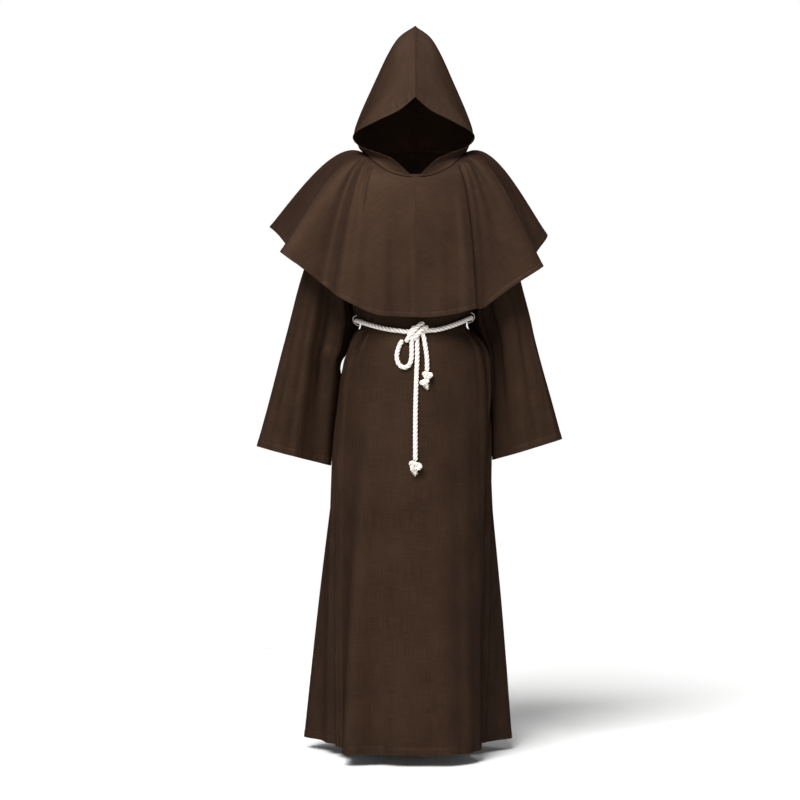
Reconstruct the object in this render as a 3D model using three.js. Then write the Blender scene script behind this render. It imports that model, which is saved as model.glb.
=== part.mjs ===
import * as THREE from "three";

// A monk's robe in the shape that it takes when it is worn: an ankle-length robe with wide sleeves,
// a round shoulder cape with a pointed hood, and a rope belt tied in front.
// Millimetres, +Z up. The wearer faces -Y, so the wearer's left is +X.
// The origin is on the centre plane, between the shoulders at the foot of the neck.

// Driving sizes
const CLOTH = 1.6;
const SEAM_GAP = 0.3;
const HEM_Z = -1482;
const BELT_Z = -442;
const ROPE_RADIUS = 5.8;
const THREAD_RADIUS = 1.2;
const CUFF_DROP_RIGHT = -789;
const CUFF_DROP_LEFT = -775;

// Gaps that keep the pieces apart where they meet
const CAPE_CLEARANCE = 2 * SEAM_GAP;
const ARMHOLE_CLEARANCE_TOP = 2 * SEAM_GAP;
const ARMHOLE_CLEARANCE_GROWTH = 2.5 * SEAM_GAP;
const WAIST_ROPE_CLEARANCE = 3.2;
const KNOT_CLEARANCE = 0.7;
const CARRIER_CLEARANCE_LEFT = 2.4;
const CARRIER_CLEARANCE_RIGHT = 1.4;

// How finely each piece is divided
const FRONT_COLUMNS = 26;
const BACK_COLUMNS = 20;
const CAPE_COLUMNS = 32;
const CAPE_ROWS = 8;
const CAPE_NECK_SHARE = 0.0005;
const CAPE_HEM_SHARE = 0.999;
const HOOD_COLUMNS = 12;
const HOOD_ROWS = 14;
const TUBE_SIDES = 8;
const WAIST_ROPE_POINTS = 48;
const WAIST_ROPE_STEPS = 60;
const LOOP_STEPS = 24;
const LONG_END_STEPS = 16;
const SHORT_END_STEPS = 12;
const CARRIER_STEPS = 14;
const LUMP_STEPS = 4;
const LUMP_SIDES = 14;
const LUMP_ROUNDNESS = 0.45;
const LUMP_GROOVE = 0.07;

const FRONT_DEGREES = 270;
const BACK_DEGREES = 90;
const FULL_TURN = 360;

const ROBE_BROWN = 0x3a2c24;
const HOOD_BROWN = 0x40322a;
const ROPE_WHITE = 0xf4ece6;

// Rings of the robe from the neckline down to the hem.
// left and right are half widths, front and back are depths, both from the side seam, which is at seamY.
// sideZ, frontZ and backZ are the ring's heights, and rows says how many rows lead to the next ring.
const robeRings = [
  { name: "neckline", sideZ: -12, frontZ: -79, backZ: 6, left: 125, right: 125, front: 110, back: 98, seamY: 0, rows: 1 },
  { name: "yoke", sideZ: -30, frontZ: -122, backZ: -34, left: 158, right: 156, front: 115, back: 114, seamY: 0, rows: 1 },
  { name: "shoulder", sideZ: -64, frontZ: -172, backZ: -102, left: 187, right: 187, front: 120, back: 124, seamY: 0, rows: 0 },
  { name: "chest", sideZ: -160, frontZ: -232, backZ: -194, left: 184, right: 186, front: 126, back: 132, seamY: 0, rows: 0 },
  { name: "underarm", sideZ: -270, frontZ: -300, backZ: -290, left: 168, right: 173, front: 129, back: 134, seamY: 0, rows: 1 },
  { name: "over belt", sideZ: -380, frontZ: -385, backZ: -382, left: 142, right: 151, front: 130, back: 130, seamY: 0, rows: 2 },
  { name: "belt", sideZ: BELT_Z, frontZ: BELT_Z, backZ: BELT_Z, left: 127.5, right: 134, front: 124, back: 118, seamY: 0, rows: 1 },
  { name: "below belt", sideZ: -462, frontZ: -462, backZ: -462, left: 145, right: 146.5, front: 127, back: 124, seamY: 0, rows: 1 },
  { name: "under belt", sideZ: -505, frontZ: -505, backZ: -505, left: 175, right: 165, front: 140, back: 140, seamY: 2, rows: 1 },
  { name: "hip", sideZ: -575, frontZ: -575, backZ: -575, left: 185, right: 187, front: 152, back: 156, seamY: 6, rows: 2 },
  { name: "cuff level", sideZ: -785, frontZ: -785, backZ: -785, left: 192, right: 206, front: 182, back: 176, seamY: 14, rows: 3 },
  { name: "knee", sideZ: -1130, frontZ: -1130, backZ: -1130, left: 208, right: 232, front: 224, back: 186, seamY: 30, rows: 3 },
  { name: "hem", sideZ: HEM_Z, frontZ: HEM_Z, backZ: HEM_Z, left: 217, right: 252, front: 262, back: 194, seamY: 44, rows: 0 },
];
const RING_SHOULDER = 2;
const RING_UNDERARM = 4;
const RING_BELT = 6;
const RING_LAST = robeRings.length - 1;
const RING_SQUARENESS = 2.3;
const ARMHOLE_ROWS = 10;
const ARMHOLE_HALF_TURN = THREE.MathUtils.degToRad(27);
const SLEEVE_FOLD_START = 1 / 3;

// Folds of the skirt. at is the place round the ring in degrees, with the front at 270.
// out is the fold's height at full size, spread its half width in degrees.
// It grows from nothing at the height top to full size at the height full.
const robeFolds = [
  { name: "left side step", at: 342, out: -66, spread: 27, top: -700, full: HEM_Z },
  { name: "left side flare", at: 10, out: 33, spread: 14, top: -900, full: HEM_Z },
  { name: "left front edge", at: 316, out: -12, spread: 14, top: -560, full: HEM_Z },
  { name: "left front soft", at: 288, out: 10, spread: 12, top: -560, full: HEM_Z },
  { name: "right front soft", at: 253, out: -12, spread: 10, top: -620, full: HEM_Z },
  { name: "right front ridge", at: 236, out: 30, spread: 12, top: -600, full: HEM_Z },
  { name: "right front trough", at: 217, out: -10, spread: 12, top: -560, full: HEM_Z },
  { name: "right side trough", at: 201, out: -45, spread: 38, top: -760, full: HEM_Z },
  { name: "right side flare", at: 163, out: 40, spread: 18, top: -800, full: HEM_Z },
  { name: "back right trough", at: 138, out: -30, spread: 16, top: -600, full: HEM_Z },
  { name: "back right ridge", at: 115, out: 24, spread: 14, top: -560, full: HEM_Z },
  { name: "back centre trough", at: 93, out: -26, spread: 15, top: -540, full: HEM_Z },
  { name: "back left ridge", at: 70, out: 26, spread: 14, top: -600, full: HEM_Z },
  { name: "back left trough", at: 42, out: -32, spread: 17, top: -560, full: HEM_Z },
  { name: "belt gather right", at: 205, out: 5, spread: 9, top: BELT_Z, full: -500 },
  { name: "belt gather left", at: 333, out: 5, spread: 9, top: BELT_Z, full: -500 },
];

// Sections of the sleeves, from just outside the armhole to the cuff.
// outX and outZ are on the side away from the body, inX, inY and inZ on the side next to it.
// front and back are the section's depths.
const rightSleeveSections = [
  { name: "sleeve head", outX: 222, outZ: -118, inX: 176, inY: 0, inZ: -292, front: -64, back: 62, rows: 2 },
  { name: "upper arm", outX: 253, outZ: -222, inX: 168, inY: 10, inZ: -352, front: -62, back: 60, rows: 2 },
  { name: "above elbow", outX: 288, outZ: -332, inX: 155, inY: 44, inZ: -430, front: -60, back: 56, rows: 2 },
  { name: "elbow crook", outX: 312, outZ: -425, inX: 168, inY: 36, inZ: -500, front: -59, back: 53, rows: 1 },
  { name: "elbow", outX: 322, outZ: -464, inX: 184.5, inY: 26, inZ: -532, front: -58, back: 51, rows: 1 },
  { name: "below elbow", outX: 338, outZ: -525, inX: 189, inY: 32, inZ: -578, front: -58, back: 50, rows: 2 },
  { name: "forearm", outX: 366, outZ: -634, inX: 201.5, inY: 24, inZ: -680, front: -60, back: 46, rows: 2 },
  { name: "cuff", outX: 395, outZ: -740, inX: 210, inY: 16, inZ: CUFF_DROP_RIGHT, front: -62, back: 42, rows: 0 },
];
const leftSleeveSections = [
  { name: "sleeve head", outX: 217, outZ: -118, inX: 173, inY: 0, inZ: -292, front: -64, back: 62, rows: 2 },
  { name: "upper arm", outX: 240, outZ: -222, inX: 160, inY: 10, inZ: -352, front: -62, back: 60, rows: 2 },
  { name: "above elbow", outX: 265, outZ: -330, inX: 149, inY: 44, inZ: -430, front: -60, back: 56, rows: 2 },
  { name: "elbow crook", outX: 287, outZ: -415, inX: 175, inY: 36, inZ: -500, front: -59, back: 53, rows: 1 },
  { name: "elbow", outX: 299, outZ: -470, inX: 182, inY: 34, inZ: -535, front: -58, back: 51, rows: 1 },
  { name: "below elbow", outX: 318.5, outZ: -545, inX: 187.5, inY: 34, inZ: -590, front: -58, back: 50, rows: 2 },
  { name: "forearm", outX: 340, outZ: -622, inX: 190.5, inY: 32, inZ: -668, front: -60, back: 46, rows: 2 },
  { name: "cuff", outX: 367, outZ: -722, inX: 194, inY: 24, inZ: CUFF_DROP_LEFT, front: -62, back: 42, rows: 0 },
];

// Folds along the sleeves. at is the place round the section in degrees: 0 is the outer side,
// 90 the front, 180 the inner side. drift is how far it wanders by the cuff.
const rightSleeveFolds = [
  { name: "front trough", at: 84, drift: 44, out: -17, spread: 34 },
  { name: "front ridge", at: 42, drift: 20, out: 7, spread: 30 },
  { name: "back trough", at: 262, drift: -20, out: -15, spread: 36 },
];
const leftSleeveFolds = [
  { name: "front trough", at: 112, drift: 34, out: -15, spread: 32 },
  { name: "front ridge", at: 68, drift: 34, out: 8, spread: 28 },
  { name: "back trough", at: 255, drift: -10, out: -15, spread: 36 },
];

// Spokes of the cape round the neck. at is in degrees with the front at 270.
// reach and hemZ place the hem. The cloth leaves the neck by shoulder outwards and lift upwards,
// and swells by belly outwards and fill upwards on its way down to the hem.
const capeSpokes = [
  { name: "left side flute", at: 18, reach: 352, hemZ: -204, shoulder: 68, lift: 58, belly: 0, fill: 40 },
  { name: "back left trough", at: 36, reach: 262, hemZ: -296, shoulder: 66, lift: 14, belly: 16, fill: 30 },
  { name: "back left flute", at: 54, reach: 286, hemZ: -290, shoulder: 56, lift: 4, belly: 0, fill: 26 },
  { name: "back left hollow", at: 72, reach: 202, hemZ: -330, shoulder: 46, lift: -12, belly: 6, fill: 22 },
  { name: "back centre", at: 92, reach: 206, hemZ: -336, shoulder: 44, lift: -18, belly: 4, fill: 20 },
  { name: "back right hollow", at: 110, reach: 198, hemZ: -332, shoulder: 46, lift: -12, belly: 6, fill: 22 },
  { name: "back right flute", at: 127, reach: 288, hemZ: -290, shoulder: 56, lift: 4, belly: 0, fill: 26 },
  { name: "back right trough", at: 145, reach: 270, hemZ: -292, shoulder: 66, lift: 14, belly: 16, fill: 30 },
  { name: "right side flute", at: 163.5, reach: 381, hemZ: -188, shoulder: 70, lift: 56, belly: 0, fill: 40 },
  { name: "right side hem", at: 174.5, reach: 342, hemZ: -214, shoulder: 74, lift: 30, belly: 6, fill: 36 },
  { name: "right side trough", at: 187, reach: 285, hemZ: -292, shoulder: 76, lift: 16, belly: 30, fill: 34 },
  { name: "right front flute", at: 198.5, reach: 346, hemZ: -264, shoulder: 64, lift: 6, belly: 4, fill: 22 },
  { name: "right front trough", at: 208.5, reach: 259, hemZ: -341, shoulder: 54, lift: -2, belly: 12, fill: 14 },
  { name: "right breast ridge", at: 222, reach: 238, hemZ: -380, shoulder: 44, lift: -24, belly: 12, fill: 6 },
  { name: "right breast", at: 240, reach: 194, hemZ: -417, shoulder: 36, lift: -46, belly: 8, fill: 0 },
  { name: "front right hollow", at: 256, reach: 170, hemZ: -422, shoulder: 30, lift: -58, belly: 5, fill: 0 },
  { name: "front centre", at: 268, reach: 172, hemZ: -424, shoulder: 28, lift: -62, belly: 4, fill: 0 },
  { name: "front left ridge", at: 282, reach: 176, hemZ: -424, shoulder: 30, lift: -58, belly: 5, fill: 0 },
  { name: "left breast", at: 300, reach: 196, hemZ: -416, shoulder: 36, lift: -46, belly: 8, fill: 0 },
  { name: "left breast ridge", at: 312, reach: 216, hemZ: -404, shoulder: 42, lift: -30, belly: 12, fill: 6 },
  { name: "left front trough", at: 324, reach: 214, hemZ: -396, shoulder: 52, lift: -10, belly: 16, fill: 14 },
  { name: "left breast edge", at: 332, reach: 262, hemZ: -352, shoulder: 50, lift: -6, belly: 6, fill: 12 },
  { name: "left front flute", at: 342, reach: 327, hemZ: -300, shoulder: 60, lift: 10, belly: 4, fill: 22 },
  { name: "left side trough", at: 357, reach: 276, hemZ: -298, shoulder: 76, lift: 28, belly: 30, fill: 36 },
];

// Sections of the hood from the rim of the face opening to the seam at the back of the head.
// Each runs from the crown seam down to the neckline at the place neckAt, through the named stations.
// A station is its distance from the centre plane, its depth and its height.
const hoodSections = [
  {
    name: "rim", neckAt: 268, crown: [0, -84, 122], brow: [40, -80, 90], temple: [100, -70, 62],
    cheek: [152, -56, 33], jaw: [136, -66, 2], throat: [60, -106, -31],
  },
  {
    name: "side front", neckAt: 208, crown: [0, -46, 214], brow: [52, -42, 168], temple: [106, -36, 108],
    cheek: [149, -22, 44], jaw: [142, -22, 10], throat: [128, -34, -5],
  },
  {
    name: "side", neckAt: 170, crown: [0, 8, 303], brow: [49, 14, 272], temple: [97, 24, 178],
    cheek: [145, 26, 64], jaw: [141, 28, 28], throat: [131, 24, 8],
  },
  {
    name: "back side", neckAt: 128, crown: [0, 26, 313], brow: [27, 58, 268], temple: [62, 88, 186],
    cheek: [94, 106, 100], jaw: [96, 100, 56], throat: [88, 88, 24],
  },
  {
    name: "back seam", neckAt: 90, crown: [0, 34, 313], brow: [0, 78, 262], temple: [0, 110, 188],
    cheek: [0, 128, 108], jaw: [0, 122, 62], throat: [0, 108, 30],
  },
];
const HOOD_STATIONS = ["crown", "brow", "temple", "cheek", "jaw", "throat"];
const HOOD_LEFT_SHARE = 0.955;
const HOOD_SEAM_RISE = 2.2;
const HOOD_SEAM_INSET = 0.5;

// Height of the belt round the waist: it dips at the knot and is held a little higher on the left
const BELT_SIDE_RIGHT_Z = -427;
const BELT_SIDE_LEFT_Z = -420;
const BELT_FRONT_Z = -457;
const BELT_BACK_Z = -424;
const KNOT_HALF_TURN = THREE.MathUtils.degToRad(14.5);

// A belt carrier from its upper end to its lower one: how far it stands off the robe, and its rise
// above the middle of the rope
const carrierRoute = [
  { off: 0, rise: 13 },
  { off: 5, rise: 12.6 },
  { off: 11, rise: 10.5 },
  { off: 15.4, rise: 6 },
  { off: 16.6, rise: 0 },
  { off: 15.4, rise: -6 },
  { off: 11, rise: -10.5 },
  { off: 5, rise: -12.6 },
  { off: 0, rise: -13 },
];

// The rope's ends. x and z lie on the front of the robe, and off is the extra distance from the cloth.
const loopRoute = [
  { x: -31, z: -478, off: 1 },
  { x: -34.5, z: -484, off: 1 },
  { x: -38.5, z: -491.5, off: 0 },
  { x: -42.5, z: -502, off: 0 },
  { x: -45, z: -515, off: 0 },
  { x: -44.5, z: -526, off: 0 },
  { x: -41, z: -536, off: 0 },
  { x: -34.5, z: -543, off: 0 },
  { x: -26.5, z: -545.5, off: 0 },
  { x: -18.5, z: -542.5, off: 0 },
  { x: -13, z: -535, off: 0 },
  { x: -10, z: -525, off: 0 },
  { x: -9, z: -514, off: 0 },
  { x: -9, z: -503, off: 0 },
  { x: -9, z: -492, off: 1 },
  { x: -8, z: -481, off: 1 },
];
const longEndRoute = [
  { x: 4.5, z: -481, off: 1 },
  { x: 4.5, z: -498, off: 0 },
  { x: 4.6, z: -516, off: 0 },
  { x: 4, z: -535, off: 0 },
  { x: 3, z: -555, off: 0 },
  { x: 2.2, z: -575, off: 0 },
  { x: 1.6, z: -595, off: 0 },
  { x: 1, z: -615, off: 0 },
  { x: 0.5, z: -635, off: 0 },
  { x: 0.1, z: -655, off: 0 },
  { x: -0.1, z: -675, off: 0 },
  { x: -0.2, z: -695, off: 0 },
  { x: -0.2, z: -715, off: 0 },
  { x: -0.3, z: -735, off: 0 },
  { x: -0.3, z: -755, off: 0 },
  { x: -0.3, z: -774, off: 0 },
];
const shortEndRoute = [
  { x: 22, z: -480, off: 1 },
  { x: 23, z: -486, off: 0.5 },
  { x: 24, z: -492, off: 0 },
  { x: 25, z: -498, off: 0 },
  { x: 26, z: -504, off: 0 },
  { x: 26.8, z: -510, off: 0 },
  { x: 27.4, z: -516, off: 0 },
  { x: 27.9, z: -521, off: 0 },
  { x: 28.2, z: -526, off: 0 },
  { x: 28.4, z: -531, off: 0 },
  { x: 28.5, z: -536, off: 0 },
  { x: 28.5, z: -541, off: 0 },
  { x: 28.5, z: -546, off: 0 },
  { x: 28.5, z: -551, off: 0 },
  { x: 28.5, z: -557, off: 0 },
];
const ropeLumps = [
  { name: "belt_knot", x: 2, z: -456, wide: 60, deep: 27, tall: 38, wraps: 4, lean: 8 },
  { name: "end_knot_long", x: -1, z: -786.1, wide: 29, deep: 24, tall: 26, wraps: 2, lean: 20 },
  { name: "end_knot_short", x: 29, z: -565.3, wide: 23, deep: 19, tall: 18, wraps: 2, lean: 10 },
  { name: "end_knot_short_tail", x: 22.5, z: -581.6, wide: 24, deep: 16, tall: 14, wraps: 2, lean: -24 },
];

// Cubic through the rows of a table at the whole numbers of place, for one named column
function columnAt(rows, column, place) {
  const last = rows.length - 1;
  const index = Math.min(Math.max(Math.floor(place), 0), last - 1);
  const share = place - index;
  const before = rows[Math.max(index - 1, 0)][column];
  const here = rows[index][column];
  const next = rows[index + 1][column];
  const after = rows[Math.min(index + 2, last)][column];
  const slopeHere = (next - before) / 2;
  const slopeNext = (after - here) / 2;
  return hermite(here, next, slopeHere, slopeNext, share);
}

function hermite(from, to, slopeFrom, slopeTo, share) {
  const s2 = share * share;
  const s3 = s2 * share;
  const held = from * (2 * s3 - 3 * s2 + 1) + to * (3 * s2 - 2 * s3);
  return held + slopeFrom * (s3 - 2 * s2 + share) + slopeTo * (s3 - s2);
}

// The same for a table that runs once round, with its places in the column at, in degrees
function columnRound(rows, column, degrees) {
  const count = rows.length;
  const turn = FULL_TURN;
  const place = (((degrees - rows[0].at) % turn) + turn) % turn;
  let index = 0;
  while (index < count - 1 && rows[index + 1].at - rows[0].at <= place) index += 1;
  const row = (k) => rows[(k + count) % count];
  const atOf = (k) => row(k).at - rows[0].at + turn * Math.floor(k / count);
  const slope = (k) => (row(k + 1)[column] - row(k - 1)[column]) / (atOf(k + 1) - atOf(k - 1));
  const width = atOf(index + 1) - atOf(index);
  const share = (place - atOf(index)) / width;
  const from = row(index)[column];
  const to = row(index + 1)[column];
  return hermite(from, to, slope(index) * width, slope(index + 1) * width, share);
}

function bump(distance) {
  return Math.abs(distance) < 1 ? (1 + Math.cos(Math.PI * distance)) / 2 : 0;
}

// The difference of two angles in degrees, from -180 to 180
function angleBetween(a, b) {
  const half = FULL_TURN / 2;
  const difference = (a - b + half) % FULL_TURN;
  return difference < 0 ? difference + half : difference - half;
}

function signedPower(value, power) {
  return Math.sign(value) * Math.abs(value) ** power;
}

// Outer face of the robe: angle goes round it, with the front at 270 degrees, and place goes down the rings
function robePoint(angle, place) {
  const ring = (column) => columnAt(robeRings, column, place);
  const across = Math.cos(angle);
  const along = Math.sin(angle);
  const halfWidth = across > 0 ? ring("left") : ring("right");
  const depth = along > 0 ? ring("back") : ring("front");
  const endZ = along > 0 ? ring("backZ") : ring("frontZ");
  const z = ring("sideZ") * across * across + endZ * along * along;
  const swell = foldSum(angle, z);
  const x = (halfWidth + swell) * signedPower(across, 2 / RING_SQUARENESS);
  const y = ring("seamY") + (depth + swell) * signedPower(along, 2 / RING_SQUARENESS);
  return new THREE.Vector3(x, y, z);
}

function foldSum(angle, z) {
  const degrees = THREE.MathUtils.radToDeg(angle);
  let sum = 0;
  for (const fold of robeFolds) {
    const growth = THREE.MathUtils.clamp((fold.top - z) / (fold.top - fold.full), 0, 1);
    sum += fold.out * growth * bump(angleBetween(degrees, fold.at) / fold.spread);
  }
  return sum;
}

// Unit normal of a face given by a function of two values, pointing out where side is 1
function normalOf(face, u, v, side) {
  const step = 1e-3;
  const du = face(u + step, v).sub(face(u - step, v));
  const dv = face(u, v + step).sub(face(u, v - step));
  return du.cross(dv).normalize().multiplyScalar(side);
}

// A wall of cloth: an outer grid of points, an inner grid one thickness behind it, and closed edges.
// face gives the outer face, us and vs are the grid's values, side turns the normal outwards,
// round closes the grid in u, and keep moves a point of either grid to its own side of a seam.
function clothWall({ face, us, vs, side, round = false, keep = (point) => point }) {
  const columns = us.length;
  const rows = vs.length;
  const positions = [];
  for (const depth of [0, CLOTH]) {
    for (const v of vs) {
      for (const u of us) {
        const point = face(u, v);
        if (depth > 0) point.addScaledVector(normalOf(face, u, v, side), -depth);
        positions.push(...keep(point).toArray());
      }
    }
  }
  const at = (layer, row, column) => layer * rows * columns + row * columns + (column % columns);
  const triangles = [];
  const quad = (a, b, c, d) => triangles.push(a, b, c, a, c, d);
  const cells = round ? columns : columns - 1;
  for (let row = 0; row < rows - 1; row += 1) {
    for (let column = 0; column < cells; column += 1) {
      quad(at(0, row, column), at(0, row, column + 1), at(0, row + 1, column + 1), at(0, row + 1, column));
      quad(at(1, row, column), at(1, row + 1, column), at(1, row + 1, column + 1), at(1, row, column + 1));
    }
  }
  for (let column = 0; column < cells; column += 1) {
    quad(at(0, 0, column), at(1, 0, column), at(1, 0, column + 1), at(0, 0, column + 1));
    const low = rows - 1;
    quad(at(0, low, column), at(0, low, column + 1), at(1, low, column + 1), at(1, low, column));
  }
  if (!round) {
    const end = columns - 1;
    for (let row = 0; row < rows - 1; row += 1) {
      quad(at(0, row, 0), at(0, row + 1, 0), at(1, row + 1, 0), at(1, row, 0));
      quad(at(0, row, end), at(1, row, end), at(1, row + 1, end), at(0, row + 1, end));
    }
  }
  return closedGeometry(positions, triangles);
}

// A geometry from points and triangles, turned so that its faces point out
function closedGeometry(positions, triangles) {
  const corner = (index) => new THREE.Vector3().fromArray(positions, index * 3);
  let volume = 0;
  for (let i = 0; i < triangles.length; i += 3) {
    volume += corner(triangles[i]).dot(corner(triangles[i + 1]).cross(corner(triangles[i + 2])));
  }
  if (volume < 0) triangles.reverse();
  const geometry = new THREE.BufferGeometry();
  geometry.setAttribute("position", new THREE.Float32BufferAttribute(positions, 3));
  geometry.setIndex(triangles);
  geometry.computeVertexNormals();
  return geometry;
}

function evenly(from, to, cells) {
  return Array.from({ length: cells + 1 }, (_, k) => from + ((to - from) * k) / cells);
}

// Places down a table: every row, with as many steps between two rows as the column rows says
function placesDown(rows) {
  const places = [];
  rows.forEach((row, index) => {
    for (let k = 0; k < row.rows; k += 1) places.push(index + k / row.rows);
  });
  places.push(rows.length - 1);
  return places;
}

function clothMaterial(color) {
  return new THREE.MeshStandardMaterial({ color, roughness: 0.75, metalness: 0, side: THREE.DoubleSide });
}

function piece(name, geometry, material) {
  const mesh = new THREE.Mesh(geometry, material);
  mesh.name = name;
  return mesh;
}

// How far the armhole's edge stands from the side seam, as an angle, at a place down the rings
function armholeTurn(place) {
  const share = (place - RING_SHOULDER) / (RING_UNDERARM - RING_SHOULDER);
  if (share <= 0 || share >= 1) return 0;
  return ARMHOLE_HALF_TURN * Math.sqrt(1 - (2 * share - 1) ** 2);
}

// Rows of a robe panel: beside the armhole they are where the sleeve's own points are
function robePlaces() {
  const half = (RING_UNDERARM - RING_SHOULDER) / 2;
  const turns = evenly(0, Math.PI, ARMHOLE_ROWS);
  const armhole = turns.map((turn) => RING_SHOULDER + half * (1 - Math.cos(turn)));
  const inArmhole = (place) => place >= RING_SHOULDER && place <= RING_UNDERARM;
  const rest = placesDown(robeRings).filter((place) => !inArmhole(place));
  return [...rest, ...armhole].sort((a, b) => a - b);
}

// One panel of the robe between its two side edges, moved half a seam gap off the side seam
function robePanel(name, middleDegrees, columns) {
  const middle = THREE.MathUtils.degToRad(middleDegrees);
  const towards = Math.sign(Math.sin(middle));
  const face = (u, v) => {
    const half = Math.PI / 2 - armholeTurn(v);
    const point = robePoint(middle + half * u, v);
    point.y += (towards * SEAM_GAP) / 2;
    return point;
  };
  const geometry = clothWall({ face, us: evenly(-1, 1, columns), vs: robePlaces(), side: -1 });
  return piece(name, geometry, clothMaterial(ROBE_BROWN));
}

// Edge of the armhole on one side, with 0 at the shoulder tip, 90 at the front and 180 under the arm
function armholePoint(sideSign, turn) {
  const seamAngle = sideSign > 0 ? 0 : Math.PI;
  const half = (RING_UNDERARM - RING_SHOULDER) / 2;
  const place = RING_SHOULDER + half * (1 - Math.cos(turn));
  const point = robePoint(seamAngle - sideSign * ARMHOLE_HALF_TURN * Math.sin(turn), place);
  const clear = ARMHOLE_CLEARANCE_TOP + ARMHOLE_CLEARANCE_GROWTH * (1 - Math.cos(turn));
  return point.add(new THREE.Vector3(sideSign * clear, 0, 0));
}

function sleevePoint(sections, folds, sideSign, turn, place) {
  const column = (name, at) => columnAt(sections, name, at);
  const section = (at) => {
    const outX = column("outX", at);
    const inX = column("inX", at);
    const inY = column("inY", at);
    const outZ = column("outZ", at);
    const inZ = column("inZ", at);
    const front = column("front", at);
    const back = column("back", at);
    const across = Math.cos(turn);
    const x = (outX + inX) / 2 + ((outX - inX) / 2) * across;
    const z = (outZ + inZ) / 2 + ((outZ - inZ) / 2) * across;
    const y = (front + back) / 2 + ((front - back) / 2) * Math.sin(turn) + (inY * (1 - across)) / 2;
    return new THREE.Vector3(sideSign * x, y, z);
  };
  if (place < 0) return armholePoint(sideSign, turn).lerp(section(0), 1 + place);
  const point = section(place);
  const share = place / (sections.length - 1);
  const degrees = THREE.MathUtils.radToDeg(turn);
  for (const fold of folds) {
    const distance = angleBetween(degrees, fold.at + fold.drift * share) / fold.spread;
    const inwards = Math.sin(turn) * fold.out * bump(distance) * Math.min(1, share / SLEEVE_FOLD_START);
    point.y -= inwards;
  }
  return point;
}

function sleeve(name, sections, folds, sideSign) {
  const face = (u, v) => sleevePoint(sections, folds, sideSign, u, v);
  const us = evenly(0, 2 * Math.PI, 2 * ARMHOLE_ROWS).slice(0, -1);
  const vs = [-1, -0.5, ...placesDown(sections)];
  return piece(name, clothWall({ face, us, vs, side: -sideSign, round: true }), clothMaterial(ROBE_BROWN));
}

// The cape's neck edge: the robe's own neckline, moved out by the gap and the cape's thickness
function neckPoint(angle) {
  const out = normalOf(robePoint, angle, 0, -1);
  return robePoint(angle, 0).addScaledVector(out, CLOTH + CAPE_CLEARANCE);
}

function capePoint(angle, share) {
  const degrees = THREE.MathUtils.radToDeg(angle);
  const spoke = (column) => columnRound(capeSpokes, column, degrees);
  const neck = neckPoint(angle);
  const outwards = new THREE.Vector3(Math.cos(angle), Math.sin(angle), 0);
  const hem = outwards.clone().multiplyScalar(spoke("reach")).setZ(spoke("hemZ"));
  const leaving = neck.clone().addScaledVector(outwards, spoke("shoulder"));
  leaving.z += spoke("lift");
  const landing = hem.clone().lerp(neck, 1 / 3).addScaledVector(outwards, spoke("belly"));
  landing.z += spoke("fill");
  return new THREE.CubicBezierCurve3(neck, leaving, landing, hem).getPoint(share);
}

function capeHalf(name, sideSign) {
  const shift = (sideSign * SEAM_GAP) / 2;
  const face = (u, v) => {
    const point = capePoint(u, Math.max(v, 0));
    point.x += shift;
    return point;
  };
  const keep = (point) => {
    point.x = sideSign * Math.max(sideSign * point.x, Math.abs(shift));
    return point;
  };
  const middle = sideSign > 0 ? 0 : Math.PI;
  const us = evenly(middle - Math.PI / 2, middle + Math.PI / 2, CAPE_COLUMNS);
  const vs = evenly(CAPE_NECK_SHARE, CAPE_HEM_SHARE, CAPE_ROWS);
  const geometry = clothWall({ face, us, vs, side: -1, keep });
  return piece(name, geometry, clothMaterial(ROBE_BROWN));
}

// The hood's outer face: u runs from the rim to the back seam, v from the crown seam to the neckline
function hoodPoint(sideSign, width, u, v) {
  const stations = HOOD_STATIONS.map((station) => {
    const axis = [0, 1, 2].map((k) => columnAt(hoodSections.map((s) => ({ k: s[station][k] })), "k", u));
    return { x: axis[0] * width, y: axis[1], z: axis[2] };
  });
  const neckAt = THREE.MathUtils.degToRad(columnAt(hoodSections, "neckAt", u));
  const neck = neckPoint(neckAt);
  const inwards = new THREE.Vector3(-Math.cos(neckAt), -Math.sin(neckAt), 0);
  neck.addScaledVector(inwards, HOOD_SEAM_INSET);
  stations.push({ x: -neck.x, y: neck.y, z: neck.z + HOOD_SEAM_RISE });
  const point = ["x", "y", "z"].map((column) => columnAt(stations, column, v));
  return new THREE.Vector3(sideSign * point[0], point[1], point[2]);
}

function hoodHalf(name, sideSign) {
  const width = sideSign > 0 ? HOOD_LEFT_SHARE : 1;
  const shift = (sideSign * SEAM_GAP) / 2;
  const face = (u, v) => {
    const point = hoodPoint(sideSign, width, u, v);
    point.x += shift;
    return point;
  };
  const keep = (point) => {
    point.x = sideSign * Math.max(sideSign * point.x, Math.abs(shift));
    return point;
  };
  const us = evenly(0, hoodSections.length - 1, HOOD_COLUMNS);
  const vs = evenly(0, HOOD_STATIONS.length, HOOD_ROWS);
  const geometry = clothWall({ face, us, vs, side: sideSign, keep });
  return piece(name, geometry, clothMaterial(HOOD_BROWN));
}

// Halves a bracket until it holds the place where an increasing function reaches its goal
function solve(grows, goal, low, high) {
  let from = low;
  let to = high;
  for (let k = 0; k < 40; k += 1) {
    const middle = (from + to) / 2;
    if (grows(middle) < goal) from = middle;
    else to = middle;
  }
  return (from + to) / 2;
}

function placeAtHeight(angle, z) {
  return solve((place) => -robePoint(angle, place).z, -z, RING_BELT - 2, RING_LAST);
}

// A point at distance off from the robe's face, straight out and level
function besideRobe(angle, z, off) {
  const place = placeAtHeight(angle, z);
  const out = normalOf(robePoint, angle, place, -1).setZ(0).normalize();
  return robePoint(angle, place).addScaledVector(out, off);
}

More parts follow.
